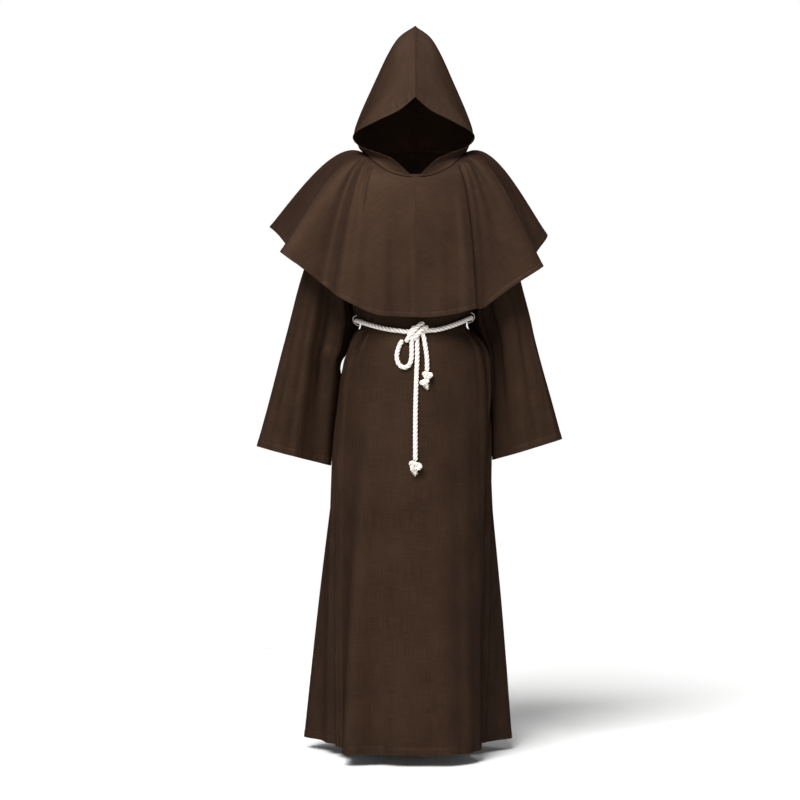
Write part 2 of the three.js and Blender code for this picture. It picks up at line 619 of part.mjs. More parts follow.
// A point in front of the robe at its own x and z
function beforeRobe(x, z, off) {
  const reach = (angle) => robePoint(angle, placeAtHeight(angle, z)).x;
  const angle = solve(reach, x, Math.PI * 1.2, Math.PI * 1.8);
  const point = besideRobe(angle, z, off + SEAM_GAP);
  point.x = x;
  return point;
}

// A round bar along a smooth curve through the points
function tube(points, radius, steps) {
  const circle = new THREE.Shape();
  circle.absarc(0, 0, radius, 0, 2 * Math.PI, false);
  const extrudePath = new THREE.CatmullRomCurve3(points);
  const options = { steps, extrudePath, bevelEnabled: false, curveSegments: TUBE_SIDES / 2 };
  return new THREE.ExtrudeGeometry(circle, options);
}

function ropeMaterial() {
  return new THREE.MeshStandardMaterial({ color: ROPE_WHITE, roughness: 0.85, metalness: 0 });
}

function beltHeight(angle) {
  const across = Math.cos(angle);
  const along = Math.sin(angle);
  const side = across > 0 ? BELT_SIDE_LEFT_Z : BELT_SIDE_RIGHT_Z;
  const end = along > 0 ? BELT_BACK_Z : BELT_FRONT_Z;
  return side * across * across + end * along * along;
}

function waistRope() {
  const from = (3 * Math.PI) / 2 - KNOT_HALF_TURN;
  const to = -Math.PI / 2 + KNOT_HALF_TURN;
  const points = evenly(from, to, WAIST_ROPE_POINTS).map((angle) => {
    return besideRobe(angle, beltHeight(angle), ROPE_RADIUS + WAIST_ROPE_CLEARANCE);
  });
  return piece("belt_rope", tube(points, ROPE_RADIUS, WAIST_ROPE_STEPS), ropeMaterial());
}

function ropeEnd(name, route, steps) {
  const points = route.map((row) => beforeRobe(row.x, row.z, ROPE_RADIUS + row.off));
  return piece(name, tube(points, ROPE_RADIUS, steps), ropeMaterial());
}

// A tied lump: a round form about its long axis with one swelling for each wrap of the rope
function ropeLump(row) {
  const profile = evenly(0, 1, row.wraps * LUMP_STEPS).map((share) => {
    const end = Math.sin(Math.PI * share) ** LUMP_ROUNDNESS;
    const wave = Math.cos(2 * Math.PI * row.wraps * (share - 0.5 / row.wraps));
    const wrap = 1 - LUMP_GROOVE + LUMP_GROOVE * wave;
    return new THREE.Vector2(share === 0 || share === 1 ? 0 : (end * wrap) / 2, share - 0.5);
  });
  const geometry = new THREE.LatheGeometry(profile, LUMP_SIDES);
  geometry.scale(row.tall, row.wide, row.deep);
  geometry.rotateZ(Math.PI / 2);
  geometry.rotateX(Math.PI / 2);
  geometry.rotateY(THREE.MathUtils.degToRad(row.lean));
  const mesh = piece(row.name, geometry, ropeMaterial());
  mesh.position.copy(beforeRobe(row.x, row.z, row.deep / 2 + KNOT_CLEARANCE));
  return mesh;
}

// A thread loop at a side seam, which the rope passes through
function beltCarrier(name, angle, clear) {
  const points = carrierRoute.map((row) => {
    const off = Math.max(row.off, clear) + SEAM_GAP;
    return besideRobe(angle, beltHeight(angle) + row.rise, off);
  });
  return piece(name, tube(points, THREAD_RADIUS, CARRIER_STEPS), ropeMaterial());
}

const monkRobe = new THREE.Group();
monkRobe.name = "monk_robe";
monkRobe.add(robePanel("robe_front", FRONT_DEGREES, FRONT_COLUMNS));
monkRobe.add(robePanel("robe_back", BACK_DEGREES, BACK_COLUMNS));
monkRobe.add(sleeve("sleeve_left", leftSleeveSections, leftSleeveFolds, 1));
monkRobe.add(sleeve("sleeve_right", rightSleeveSections, rightSleeveFolds, -1));
monkRobe.add(capeHalf("cape_left", 1));
monkRobe.add(capeHalf("cape_right", -1));
monkRobe.add(hoodHalf("hood_left", 1));
monkRobe.add(hoodHalf("hood_right", -1));
monkRobe.add(waistRope());
monkRobe.add(ropeEnd("belt_loop", loopRoute, LOOP_STEPS));
monkRobe.add(ropeEnd("belt_end_long", longEndRoute, LONG_END_STEPS));
monkRobe.add(ropeEnd("belt_end_short", shortEndRoute, SHORT_END_STEPS));
for (const row of ropeLumps) monkRobe.add(ropeLump(row));
monkRobe.add(beltCarrier("belt_carrier_left", 0, CARRIER_CLEARANCE_LEFT));
monkRobe.add(beltCarrier("belt_carrier_right", Math.PI, CARRIER_CLEARANCE_RIGHT));

export default monkRobe;
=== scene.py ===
"""A monk's robe in the shape that it takes when worn: robe, hooded shoulder cape and rope belt.

Metres, +Z up. The wearer faces -Y, and the wearer's left is +X.
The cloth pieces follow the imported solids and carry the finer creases, hems and sewing.
"""

import math
from functools import partial

import bpy
import numpy as np
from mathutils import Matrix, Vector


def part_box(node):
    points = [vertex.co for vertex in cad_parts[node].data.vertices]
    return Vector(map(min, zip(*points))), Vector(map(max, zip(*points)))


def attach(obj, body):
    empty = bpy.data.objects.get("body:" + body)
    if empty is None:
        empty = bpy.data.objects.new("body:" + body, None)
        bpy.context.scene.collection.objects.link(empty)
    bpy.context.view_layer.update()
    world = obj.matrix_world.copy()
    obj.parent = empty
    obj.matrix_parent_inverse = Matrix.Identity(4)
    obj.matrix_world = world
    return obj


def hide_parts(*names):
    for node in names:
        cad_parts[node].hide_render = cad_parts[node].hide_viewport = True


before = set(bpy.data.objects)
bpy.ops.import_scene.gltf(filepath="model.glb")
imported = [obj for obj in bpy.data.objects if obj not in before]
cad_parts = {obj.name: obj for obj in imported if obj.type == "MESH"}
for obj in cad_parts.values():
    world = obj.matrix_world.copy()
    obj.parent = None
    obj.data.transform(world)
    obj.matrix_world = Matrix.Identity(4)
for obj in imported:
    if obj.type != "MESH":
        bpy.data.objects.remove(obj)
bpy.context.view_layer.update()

# Walls, gaps and seams
CLOTH = 0.0016
VISIBLE_CLOTH = 0.0012
SEAM_GAP = 0.0003
ALLOWANCE_THICKNESS = 0.0006
ALLOWANCE_DEPTH = 0.0022
HEM_WIDTH = 0.019
CUFF_HEM_WIDTH = 0.018
CAPE_HEM_WIDTH = 0.012
RIM_HEM_WIDTH = 0.014
CROWN_SEAM_WIDTH = 0.007
STITCH_PITCH = 0.0034
STITCH_LENGTH = 0.0025
STITCH_RADIUS = 0.00035
STITCH_SHOULDER = 0.55
STITCH_LIFT = 0.4

# What sewing does to an edge: a doubled band, a groove along the stitches, and puckers beside them
BAND_RISE = 0.0005
BAND_EASE = 0.002
GROOVE_DEPTH = 0.0008
GROOVE_HALF = 0.0012
PUCKER_RISE = 0.0006
PUCKER_REACH = 0.012
PUCKER_STEP = 0.006
PUCKER_PERIODS = (0.017, 0.029, 0.047)

# Seam allowances inside the robe: half width of a side seam as a turn, and the places and rise of
# the neck's
SEAM_HALF_TURN = 0.06
SEAM_ROWS = 240
NECK_SEAM_LOW = 0.16
NECK_SEAM_HIGH = 0.01
NECK_SEAM_RISE = 0.009
HOOD_SEAM_ROWS = 120

# Searches and curves
HALVINGS = 36
CURVE_STEPS = 24
CLOTH_STEPS = 600

# Rows and columns of the meshes, the room that they leave beside closer rows, and where the cape's
# start and end
ROW_MARGIN = 0.002
ARMHOLE_MARGIN = 0.01
ROBE_ROWS = 215
ARMHOLE_ROWS = 41
SLEEVE_ROWS = 110
SLEEVE_ROUND = 121
CAPE_TOP = 0.0005
CAPE_FOOT = 0.999
CAPE_ROWS = 80
CAPE_ROUND = 221
HOOD_ROWS = 116
HOOD_ROUND = 84

# Rows of the mesh beside a hem, as distances from the edge
ROBE_HEM_ROWS = (0.003, 0.010, 0.0175, 0.019, 0.0205, 0.022, 0.026)
CUFF_HEM_ROWS = (0.003, 0.009, 0.0165, 0.018, 0.0195, 0.021, 0.025)
CAPE_HEM_ROWS = (0.003, 0.007, 0.0105, 0.012, 0.0135, 0.015, 0.018)

# Columns of the hood's mesh beside its rim, rows beside its crown, and where the even ones start
HOOD_RIM_COLUMNS = (0, 0.03, 0.08, 0.13, 0.15, 0.17, 0.19, 0.22)
HOOD_CROWN_ROWS = (0, 0.03, 0.08, 0.12, 0.14, 0.16, 0.18, 0.21)
HOOD_EVEN_COLUMNS = 0.26
HOOD_EVEN_ROWS = 0.25

# Heights of the hem and of the belt at its four sides, and the rope, its knots and the thread
HEM_Z = -1.482
BELT_Z = -0.442
BELT_LEFT_Z = -0.420
BELT_RIGHT_Z = -0.427
BELT_BACK_Z = -0.424
BELT_FRONT_Z = -0.457
ROPE_RADIUS = 0.0058
ROPE_LEAD = 0.030
ROPE_CLEARANCE = 0.0032
ROPE_SIDES = 36
STRANDS = 3
YARNS_IN_STRAND = 6
ROPE_STEP = 0.00125
STRAND_DEPTH = 0.27
STRAND_ROUNDNESS = 0.8
BLUNT_END = 0.02
WAIST_POINTS = 97
KNOT_HALF_DEGREES = 14.5
END_KNOT_RADIUS = 0.0050
END_KNOT_LEAD = 0.018
END_KNOT_INSET = 0.0046
END_KNOT_STEP = 0.0009
TREFOIL_REACH = 2.6
YARN_RADIUS = 0.00045
YARN_SIDES = 5
YARN_COUNT = 90
YARN_SPREAD = 0.0026
YARN_SCATTER = 0.0014
YARN_CURL = 0.35
YARN_FLARE_POWER = 1.6
YARN_LENGTHS = (0.65, 1.05)
THREAD_RADIUS = 0.0012
THREAD_LEAD = 0.004
THREAD_SIDES = 24
THREAD_STEP = 0.0004

# Places and proportions of the robe and hood
RING_SHOULDER = 2
RING_UNDERARM = 4
RING_BELT = 6
RING_SQUARENESS = 2.3
ARMHOLE_HALF_TURN = math.radians(27)
FRONT_FROM = math.pi * 1.2
FRONT_TO = math.pi * 1.8
HOOD_LEFT_SHARE = 0.955
HOOD_SEAM_RISE = 0.0022
HOOD_SEAM_INSET = 0.0005

# A sleeve's seam stands off the armhole by so many seam gaps at its top, and by more towards its
# foot. Its folds are full at a third of its length.
ARMHOLE_TOP_GAPS = 2
ARMHOLE_MORE_GAPS = 2.5
SLEEVE_FOLDS_FULL = 3


def table(names, rows):
    """A table with named columns, each one an array."""
    columns = np.array(rows, float).T
    return dict(zip(names.split(), columns))


# Rings of the robe from the neckline to the hem: heights at the side, front and back,
# half widths to the wearer's left and right, depths to the front and back of the side seam
ROBE_RINGS = table("side_z front_z back_z left right front back seam_y", [
    (-0.012, -0.079, 0.006, 0.125, 0.125, 0.11, 0.098, 0),
    (-0.03, -0.122, -0.034, 0.158, 0.156, 0.115, 0.114, 0),
    (-0.064, -0.172, -0.102, 0.187, 0.187, 0.12, 0.124, 0),
    (-0.16, -0.232, -0.194, 0.184, 0.186, 0.126, 0.132, 0),
    (-0.27, -0.3, -0.29, 0.168, 0.173, 0.129, 0.134, 0),
    (-0.38, -0.385, -0.382, 0.142, 0.151, 0.13, 0.13, 0),
    (BELT_Z, BELT_Z, BELT_Z, 0.1275, 0.134, 0.124, 0.118, 0),
    (-0.462, -0.462, -0.462, 0.145, 0.1465, 0.127, 0.124, 0),
    (-0.505, -0.505, -0.505, 0.175, 0.165, 0.14, 0.14, 0.002),
    (-0.575, -0.575, -0.575, 0.185, 0.187, 0.152, 0.156, 0.006),
    (-0.785, -0.785, -0.785, 0.192, 0.206, 0.182, 0.176, 0.014),
    (-1.13, -1.13, -1.13, 0.208, 0.232, 0.224, 0.186, 0.03),
    (HEM_Z, HEM_Z, HEM_Z, 0.217, 0.252, 0.262, 0.194, 0.044),
])

RING_LAST = len(ROBE_RINGS["left"]) - 1

# Main folds of the skirt, at degrees round the ring with the front at 270:
# height of the fold, half width in degrees, and the heights where it starts and is full
ROBE_FOLDS = table("at out spread top full", [
    (342, -0.066, 27, -0.7, HEM_Z),
    (10, 0.033, 14, -0.9, HEM_Z),
    (316, -0.012, 14, -0.56, HEM_Z),
    (288, 0.01, 12, -0.56, HEM_Z),
    (253, -0.012, 10, -0.62, HEM_Z),
    (236, 0.03, 12, -0.6, HEM_Z),
    (217, -0.01, 12, -0.56, HEM_Z),
    (201, -0.045, 38, -0.76, HEM_Z),
    (163, 0.04, 18, -0.8, HEM_Z),
    (138, -0.03, 16, -0.6, HEM_Z),
    (115, 0.024, 14, -0.56, HEM_Z),
    (93, -0.026, 15, -0.54, HEM_Z),
    (70, 0.026, 14, -0.6, HEM_Z),
    (42, -0.032, 17, -0.56, HEM_Z),
    (205, 0.005, 9, BELT_Z, -0.5),
    (333, 0.005, 9, BELT_Z, -0.5),
])

# Finer creases, each a soft trough or ridge along a line: where it starts and ends across and
# down the cloth, its height, its half width, how far it leans to one side, and how long it takes
# to fade in and out as shares of its length
CREASE_COLUMNS = "at_top at_end top end out spread lean fade_in fade_out"
ROBE_CREASES = table(CREASE_COLUMNS, [
    # side seam ridges that catch the light
    (188, 187, -0.6, -1.5, 0.005, 5, 0.5, 0.15, 0),
    (195, 196, -0.58, -1.5, -0.005, 7, -0.3, 0.15, 0),
    (353, 352, -0.62, -1.5, 0.006, 5, -0.5, 0.15, 0),
    (346, 345, -0.6, -1.5, -0.0045, 7, 0.3, 0.15, 0),
    # gathers that fan out below the belt carriers
    (207, 190, -0.447, -0.57, 0.0095, 3.2, 0.3, 0.1, 0.5),
    (213, 203, -0.447, -0.54, -0.0085, 3, 0, 0.1, 0.5),
    (221, 214, -0.45, -0.56, 0.0028, 4, -0.3, 0.15, 0.6),
    (180, 184, -0.436, -0.52, 0.007, 12, 0, 0.3, 0.5),
    (351, 340, -0.45, -0.74, 0.009, 3.2, -0.4, 0.1, 0.5),
    (357, 348, -0.45, -0.76, -0.009, 4, 0, 0.1, 0.5),
    (339, 333, -0.447, -0.56, -0.0045, 4, 0, 0.1, 0.6),
    (331, 326, -0.45, -0.56, 0.0028, 4, 0.3, 0.15, 0.6),
    (2, 2, -0.436, -0.52, 0.007, 12, 0, 0.3, 0.5),
    # a thin fold line down each side of the flat front
    (208, 211, -0.6, -1.5, 0.0036, 2.4, 0.4, 0.15, 0),
    (205, 207.5, -0.6, -1.5, -0.0055, 3, 0, 0.15, 0),
    (339, 343, -0.64, -1.5, 0.0036, 2.4, -0.4, 0.15, 0),
    (342, 347, -0.64, -1.5, -0.0055, 3, 0, 0.15, 0),
    # broad soft rolls down the front
    (241, 236, -0.5, -1.3, 0.0014, 9, 0, 0.3, 0.5),
    (252, 250, -0.48, -1.05, -0.001, 7, 0, 0.3, 0.6),
    (279, 281, -0.52, -1.2, 0.0008, 8, 0, 0.3, 0.6),
    (297, 300, -0.5, -1.4, -0.001, 9, 0, 0.3, 0.4),
    (309, 312, -0.5, -1.2, 0.0012, 8, 0, 0.3, 0.5),
    # the same down the back
    (24, 20, -0.46, -0.9, -0.0045, 6, 0.2, 0.1, 0.6),
    (33, 30, -0.46, -1.1, 0.004, 7, 0, 0.1, 0.6),
    (56, 52, -0.46, -1, -0.0035, 6, 0, 0.1, 0.6),
    (64, 60, -0.45, -0.8, 0.003, 5, -0.2, 0.1, 0.7),
    (82, 80, -0.45, -1.2, -0.004, 6, 0, 0.1, 0.5),
    (101, 104, -0.45, -0.95, 0.0036, 6, 0, 0.1, 0.6),
    (110, 113, -0.46, -0.75, -0.003, 4, 0, 0.1, 0.7),
    (126, 129, -0.45, -1.15, -0.0036, 6, 0.2, 0.1, 0.5),
    (147, 151, -0.46, -1, 0.0045, 6, 0, 0.1, 0.6),
    (156, 161, -0.46, -0.8, -0.0045, 5, 0, 0.1, 0.7),
    (170, 172, -0.47, -1.3, -0.004, 6, 0, 0.2, 0.3),
    # blousing over the belt, all round
    (180, 180, -0.335, -0.419, 0.0085, 14, 0, 0.5, 0.15),
    (0, 0, -0.335, -0.412, 0.0085, 14, 0, 0.5, 0.15),
    (196, 193, -0.3, -0.432, -0.005, 6, 0, 0.6, 0.1),
    (222, 218, -0.32, -0.438, -0.003, 6, 0, 0.6, 0.1),
    (312, 317, -0.32, -0.436, -0.003, 6, 0, 0.6, 0.1),
    (340, 344, -0.3, -0.43, -0.005, 6, 0, 0.6, 0.1),
    (25, 20, -0.3, -0.43, -0.004, 6, 0, 0.6, 0.1),
    (66, 70, -0.32, -0.432, -0.004, 6, 0, 0.6, 0.1),
    (113, 108, -0.31, -0.432, -0.004, 6, 0, 0.6, 0.1),
    (152, 158, -0.3, -0.43, -0.004, 6, 0, 0.6, 0.1),
])

# Sections of the sleeves from the armhole to the cuff: x and z on the outer side,
# x, y and z on the inner side, y of the front and back
SLEEVE_COLUMNS = "out_x out_z in_x in_y in_z front back"
RIGHT_SLEEVE = table(SLEEVE_COLUMNS, [
    (0.222, -0.118, 0.176, 0, -0.292, -0.064, 0.062),
    (0.253, -0.222, 0.168, 0.01, -0.352, -0.062, 0.06),
    (0.288, -0.332, 0.155, 0.044, -0.43, -0.06, 0.056),
    (0.312, -0.425, 0.168, 0.036, -0.5, -0.059, 0.053),
    (0.322, -0.464, 0.1845, 0.026, -0.532, -0.058, 0.051),
    (0.338, -0.525, 0.189, 0.032, -0.578, -0.058, 0.05),
    (0.366, -0.634, 0.2015, 0.024, -0.68, -0.06, 0.046),
    (0.395, -0.74, 0.21, 0.016, -0.789, -0.062, 0.042),
])
LEFT_SLEEVE = table(SLEEVE_COLUMNS, [
    (0.217, -0.118, 0.173, 0, -0.292, -0.064, 0.062),
    (0.24, -0.222, 0.16, 0.01, -0.352, -0.062, 0.06),
    (0.265, -0.33, 0.149, 0.044, -0.43, -0.06, 0.056),
    (0.287, -0.415, 0.175, 0.036, -0.5, -0.059, 0.053),
    (0.299, -0.47, 0.182, 0.034, -0.535, -0.058, 0.051),
    (0.3185, -0.545, 0.1875, 0.034, -0.59, -0.058, 0.05),
    (0.34, -0.622, 0.1905, 0.032, -0.668, -0.06, 0.046),
    (0.367, -0.722, 0.194, 0.024, -0.775, -0.062, 0.042),
])

# Main folds along the sleeves: 0 degrees is the outer side, 90 the front, 180 the inner side
SLEEVE_FOLD_COLUMNS = "at drift out spread"
RIGHT_SLEEVE_FOLDS = table(SLEEVE_FOLD_COLUMNS, [
    (84, 44, -0.017, 34),
    (42, 20, 0.007, 30),
    (262, -20, -0.015, 36),
])
LEFT_SLEEVE_FOLDS = table(SLEEVE_FOLD_COLUMNS, [
    (112, 34, -0.015, 32),
    (68, 34, 0.008, 28),
    (255, -10, -0.015, 36),
])
RIGHT_SLEEVE_CREASES = table(CREASE_COLUMNS, [
    # soft on the inner side, beside the waist and the hip
    (198, 198, 1, 3.1, 0.02, 22, 0, 0.4, 0.5),
    (192, 192, 4.3, 6.9, 0.006, 26, 0, 0.3, 0.3),
    # down the front, the outer side and the back
    (66, 92, 0.6, 7.2, 0.005, 13, 0.3, 0.3, 0),
    (98, 118, 0.8, 6.4, -0.006, 12, 0, 0.2, 0.4),
    (30, 44, 1.4, 7.2, -0.0034, 12, 0, 0.5, 0.2),
    (126, 150, 1, 5.4, 0.0048, 12, 0, 0.3, 0.5),
    (12, 20, 3, 7.2, 0.0022, 9, 0, 0.5, 0),
    (282, 268, 0.6, 6.8, 0.0045, 14, 0.2, 0.3, 0.3),
    (240, 226, 1, 7.2, 0.0036, 12, 0, 0.3, 0.1),
    (316, 322, 1.2, 6.6, -0.0036, 13, 0, 0.4, 0.3),
])
LEFT_SLEEVE_CREASES = table(CREASE_COLUMNS, [
    # soft on the inner side, beside the waist and the hip
    (198, 198, 1, 3.1, 0.0205, 22, 0, 0.4, 0.5),
    (192, 192, 4.3, 6.9, 0.0045, 26, 0, 0.3, 0.3),
    # down the front, the outer side and the back
    (92, 118, 0.6, 6.6, 0.0055, 12, -0.3, 0.2, 0.3),
    (50, 74, 0.8, 7.2, -0.0042, 13, 0, 0.3, 0.2),
    (132, 156, 0.8, 6.2, -0.005, 11, 0, 0.3, 0.4),
    (24, 34, 1.8, 7.2, 0.003, 11, 0, 0.4, 0.1),
    (276, 262, 0.6, 7, 0.0045, 14, 0, 0.3, 0.2),
    (232, 222, 1, 6.6, 0.0036, 12, 0, 0.3, 0.3),
    (312, 320, 1, 6.2, -0.0036, 13, 0, 0.4, 0.4),
])

# Spokes of the cape round the neck, with the front at 270 degrees: where its hem lies, how it
# leaves the neck, and how it swells on the way down
CAPE_SPOKES = table("at reach hem_z shoulder lift belly fill", [
    (18, 0.352, -0.204, 0.068, 0.058, 0, 0.04),
    (36, 0.262, -0.296, 0.066, 0.014, 0.016, 0.03),
    (54, 0.286, -0.29, 0.056, 0.004, 0, 0.026),
    (72, 0.202, -0.33, 0.046, -0.012, 0.006, 0.022),
    (92, 0.206, -0.336, 0.044, -0.018, 0.004, 0.02),
    (110, 0.198, -0.332, 0.046, -0.012, 0.006, 0.022),
    (127, 0.288, -0.29, 0.056, 0.004, 0, 0.026),
    (145, 0.27, -0.292, 0.066, 0.014, 0.016, 0.03),
    (163.5, 0.381, -0.188, 0.07, 0.056, 0, 0.04),
    (174.5, 0.342, -0.214, 0.074, 0.03, 0.006, 0.036),
    (187, 0.285, -0.292, 0.076, 0.016, 0.03, 0.034),
    (198.5, 0.346, -0.264, 0.064, 0.006, 0.004, 0.022),
    (208.5, 0.259, -0.341, 0.054, -0.002, 0.012, 0.014),
    (222, 0.238, -0.38, 0.044, -0.024, 0.012, 0.006),
    (240, 0.194, -0.417, 0.036, -0.046, 0.008, 0),
    (256, 0.17, -0.422, 0.03, -0.058, 0.005, 0),
    (268, 0.172, -0.424, 0.028, -0.062, 0.004, 0),
    (282, 0.176, -0.424, 0.03, -0.058, 0.005, 0),
    (300, 0.196, -0.416, 0.036, -0.046, 0.008, 0),
    (312, 0.216, -0.404, 0.042, -0.03, 0.012, 0.006),
    (324, 0.214, -0.396, 0.052, -0.01, 0.016, 0.014),
    (332, 0.262, -0.352, 0.05, -0.006, 0.006, 0.012),
    (342, 0.327, -0.3, 0.06, 0.01, 0.004, 0.022),
    (357, 0.276, -0.298, 0.076, 0.028, 0.03, 0.036),
])
CAPE_CREASES = table(CREASE_COLUMNS, [
    # front, from the wearer's right to the left
    (206, 209, 0.02, 1.05, -0.005, 4, 0.2, 0.1, 0.1),
    (214, 218, 0.05, 1.05, 0.0045, 5, 0, 0.2, 0.1),
    (220, 226, 0.03, 0.6, -0.0028, 3, 0, 0.1, 0.6),
    (231, 233, 0.3, 1.05, -0.0024, 7, 0, 0.5, 0),
    (244, 246, 0.3, 1.05, 0.0026, 7, 0, 0.6, 0),
    (269, 269, 0.3, 1.05, 0.0022, 7, 0, 0.6, 0),
    (292, 290, 0.3, 1.05, 0.0016, 7, 0, 0.6, 0),
    (310, 307, 0.2, 1.05, 0.0026, 5, 0, 0.4, 0),
    (321, 317, 0.03, 1.05, -0.0056, 4, 0, 0.1, 0.1),
    (330, 329, 0.05, 0.8, 0.004, 4, 0, 0.2, 0.4),
    (337, 338, 0.05, 0.7, -0.003, 3, 0, 0.1, 0.6),
    (346, 343, 0.2, 1.05, 0.0035, 3, 0.3, 0.4, 0),
    (196, 198, 0.2, 1.05, 0.0035, 3, -0.3, 0.4, 0),
    # sides and back
    (352, 354, 0.25, 1, -0.004, 4, 0, 0.4, 0.2),
    (8, 8, 0.25, 1.05, -0.003, 4, 0, 0.5, 0),
    (27, 28, 0.1, 1, -0.005, 5, 0, 0.3, 0.2),
    (45, 44, 0.1, 1.05, 0.0045, 5, 0, 0.3, 0),
    (63, 64, 0.05, 0.9, -0.005, 4, 0, 0.2, 0.4),
    (80, 79, 0.15, 1.05, 0.004, 5, 0, 0.3, 0),
    (101, 103, 0.1, 1, 0.004, 5, 0, 0.3, 0.1),
    (118, 117, 0.05, 0.9, -0.005, 4, 0, 0.2, 0.4),
    (136, 137, 0.1, 1.05, 0.0045, 5, 0, 0.3, 0),
    (154, 153, 0.1, 1, -0.005, 5, 0, 0.3, 0.2),
    (169, 168, 0.25, 1.05, -0.003, 4, 0, 0.5, 0),
    (181, 182, 0.25, 1, -0.004, 4, 0, 0.4, 0.2),
])

# Sections of the hood from the rim of the face opening to the seam at the back of the head.
# Each runs down through the stations crown, brow, temple, cheek, jaw and throat to the neckline.
HOOD_NECK_AT = np.array([268, 208, 170, 128, 90], float)
HOOD_STATIONS = np.array([
    [
        (0, -0.084, 0.122), (0, -0.046, 0.214), (0, 0.008, 0.303),
        (0, 0.026, 0.313), (0, 0.034, 0.313),
    ],
    [
        (0.04, -0.08, 0.09), (0.052, -0.042, 0.168), (0.049, 0.014, 0.272),
        (0.027, 0.058, 0.268), (0, 0.078, 0.262),
    ],
    [
        (0.1, -0.07, 0.062), (0.106, -0.036, 0.108), (0.097, 0.024, 0.178),
        (0.062, 0.088, 0.186), (0, 0.11, 0.188),
    ],
    [
        (0.152, -0.056, 0.033), (0.149, -0.022, 0.044), (0.145, 0.026, 0.064),
        (0.094, 0.106, 0.1), (0, 0.128, 0.108),
    ],
    [
        (0.136, -0.066, 0.002), (0.142, -0.022, 0.01), (0.141, 0.028, 0.028),
        (0.096, 0.1, 0.056), (0, 0.122, 0.062),
    ],
    [
        (0.06, -0.106, -0.031), (0.128, -0.034, -0.005), (0.131, 0.024, 0.008),
        (0.088, 0.088, 0.024), (0, 0.108, 0.03),
    ],
])
# Across the hood runs from the rim at 0 to the seam at the back, down from the crown at 0 to the neck
HOOD_BACK = 4
HOOD_NECK = 6
HOOD_CREASES = table(CREASE_COLUMNS, [
    (0.9, 0.5, 0.5, 3.2, 0.0022, 0.35, 0, 0.3, 0.4),
    (1.5, 1.3, 0.8, 3.4, -0.003, 0.4, 0, 0.3, 0.4),
    (2.3, 2, 1, 3.6, 0.0028, 0.4, 0, 0.3, 0.4),
    (3, 3.1, 0.6, 4, -0.003, 0.35, 0, 0.3, 0.4),
    (1, 1.3, 4, 6, -0.003, 0.22, 0, 0.4, 0.1),
    (1.6, 1.8, 4.2, 6, 0.0028, 0.22, 0, 0.4, 0.1),
    (2.2, 2.3, 4, 6, -0.003, 0.22, 0, 0.4, 0.1),
    (2.9, 2.8, 4.3, 6, 0.0026, 0.22, 0, 0.4, 0.1),
    (3.5, 3.4, 4, 6, -0.0026, 0.22, 0, 0.4, 0.1),
])

# Seam allowances of the hood: across and down at their start and end, and the step to one side
HOOD_SEAMS = {
    "hood_back_seam": ((HOOD_BACK, 0.3), (HOOD_BACK, 5.9), (-0.12, 0)),
    "hood_crown_seam": ((0.2, 0), (3.7, 0), (0, 0.14)),
}

# The rope's ends, on the front of the robe: x, z and the extra distance from the cloth
ROUTE_COLUMNS = "x z off"
LOOP_ROUTE = table(ROUTE_COLUMNS, [
    (-0.031, -0.478, 0.001), (-0.0345, -0.484, 0.001), (-0.0385, -0.4915, 0),
    (-0.0425, -0.502, 0), (-0.045, -0.515, 0), (-0.0445, -0.526, 0),
    (-0.041, -0.536, 0), (-0.0345, -0.543, 0), (-0.0265, -0.5455, 0),
    (-0.0185, -0.5425, 0), (-0.013, -0.535, 0), (-0.01, -0.525, 0),
    (-0.009, -0.514, 0), (-0.009, -0.503, 0), (-0.009, -0.492, 0.001),
    (-0.008, -0.481, 0.001),
])
LONG_END_ROUTE = table(ROUTE_COLUMNS, [
    (0.0045, -0.481, 0.001), (0.0045, -0.498, 0), (0.0046, -0.516, 0),
    (0.004, -0.535, 0), (0.003, -0.555, 0), (0.0022, -0.575, 0),
    (0.0016, -0.595, 0), (0.001, -0.615, 0), (0.0005, -0.635, 0),
    (0.0001, -0.655, 0), (-0.0001, -0.675, 0), (-0.0002, -0.695, 0),
    (-0.0002, -0.715, 0), (-0.0003, -0.735, 0), (-0.0003, -0.755, 0),
    (-0.0003, -0.774, 0),
])
SHORT_END_ROUTE = table(ROUTE_COLUMNS, [
    (0.022, -0.48, 0.001), (0.023, -0.486, 0.0005), (0.024, -0.492, 0),
    (0.025, -0.498, 0), (0.026, -0.504, 0), (0.0268, -0.51, 0),
    (0.0274, -0.516, 0), (0.0279, -0.521, 0), (0.0282, -0.526, 0),
    (0.0284, -0.531, 0), (0.0285, -0.536, 0), (0.0285, -0.541, 0),
    (0.0285, -0.546, 0), (0.0285, -0.551, 0), (0.0285, -0.557, 0),
])

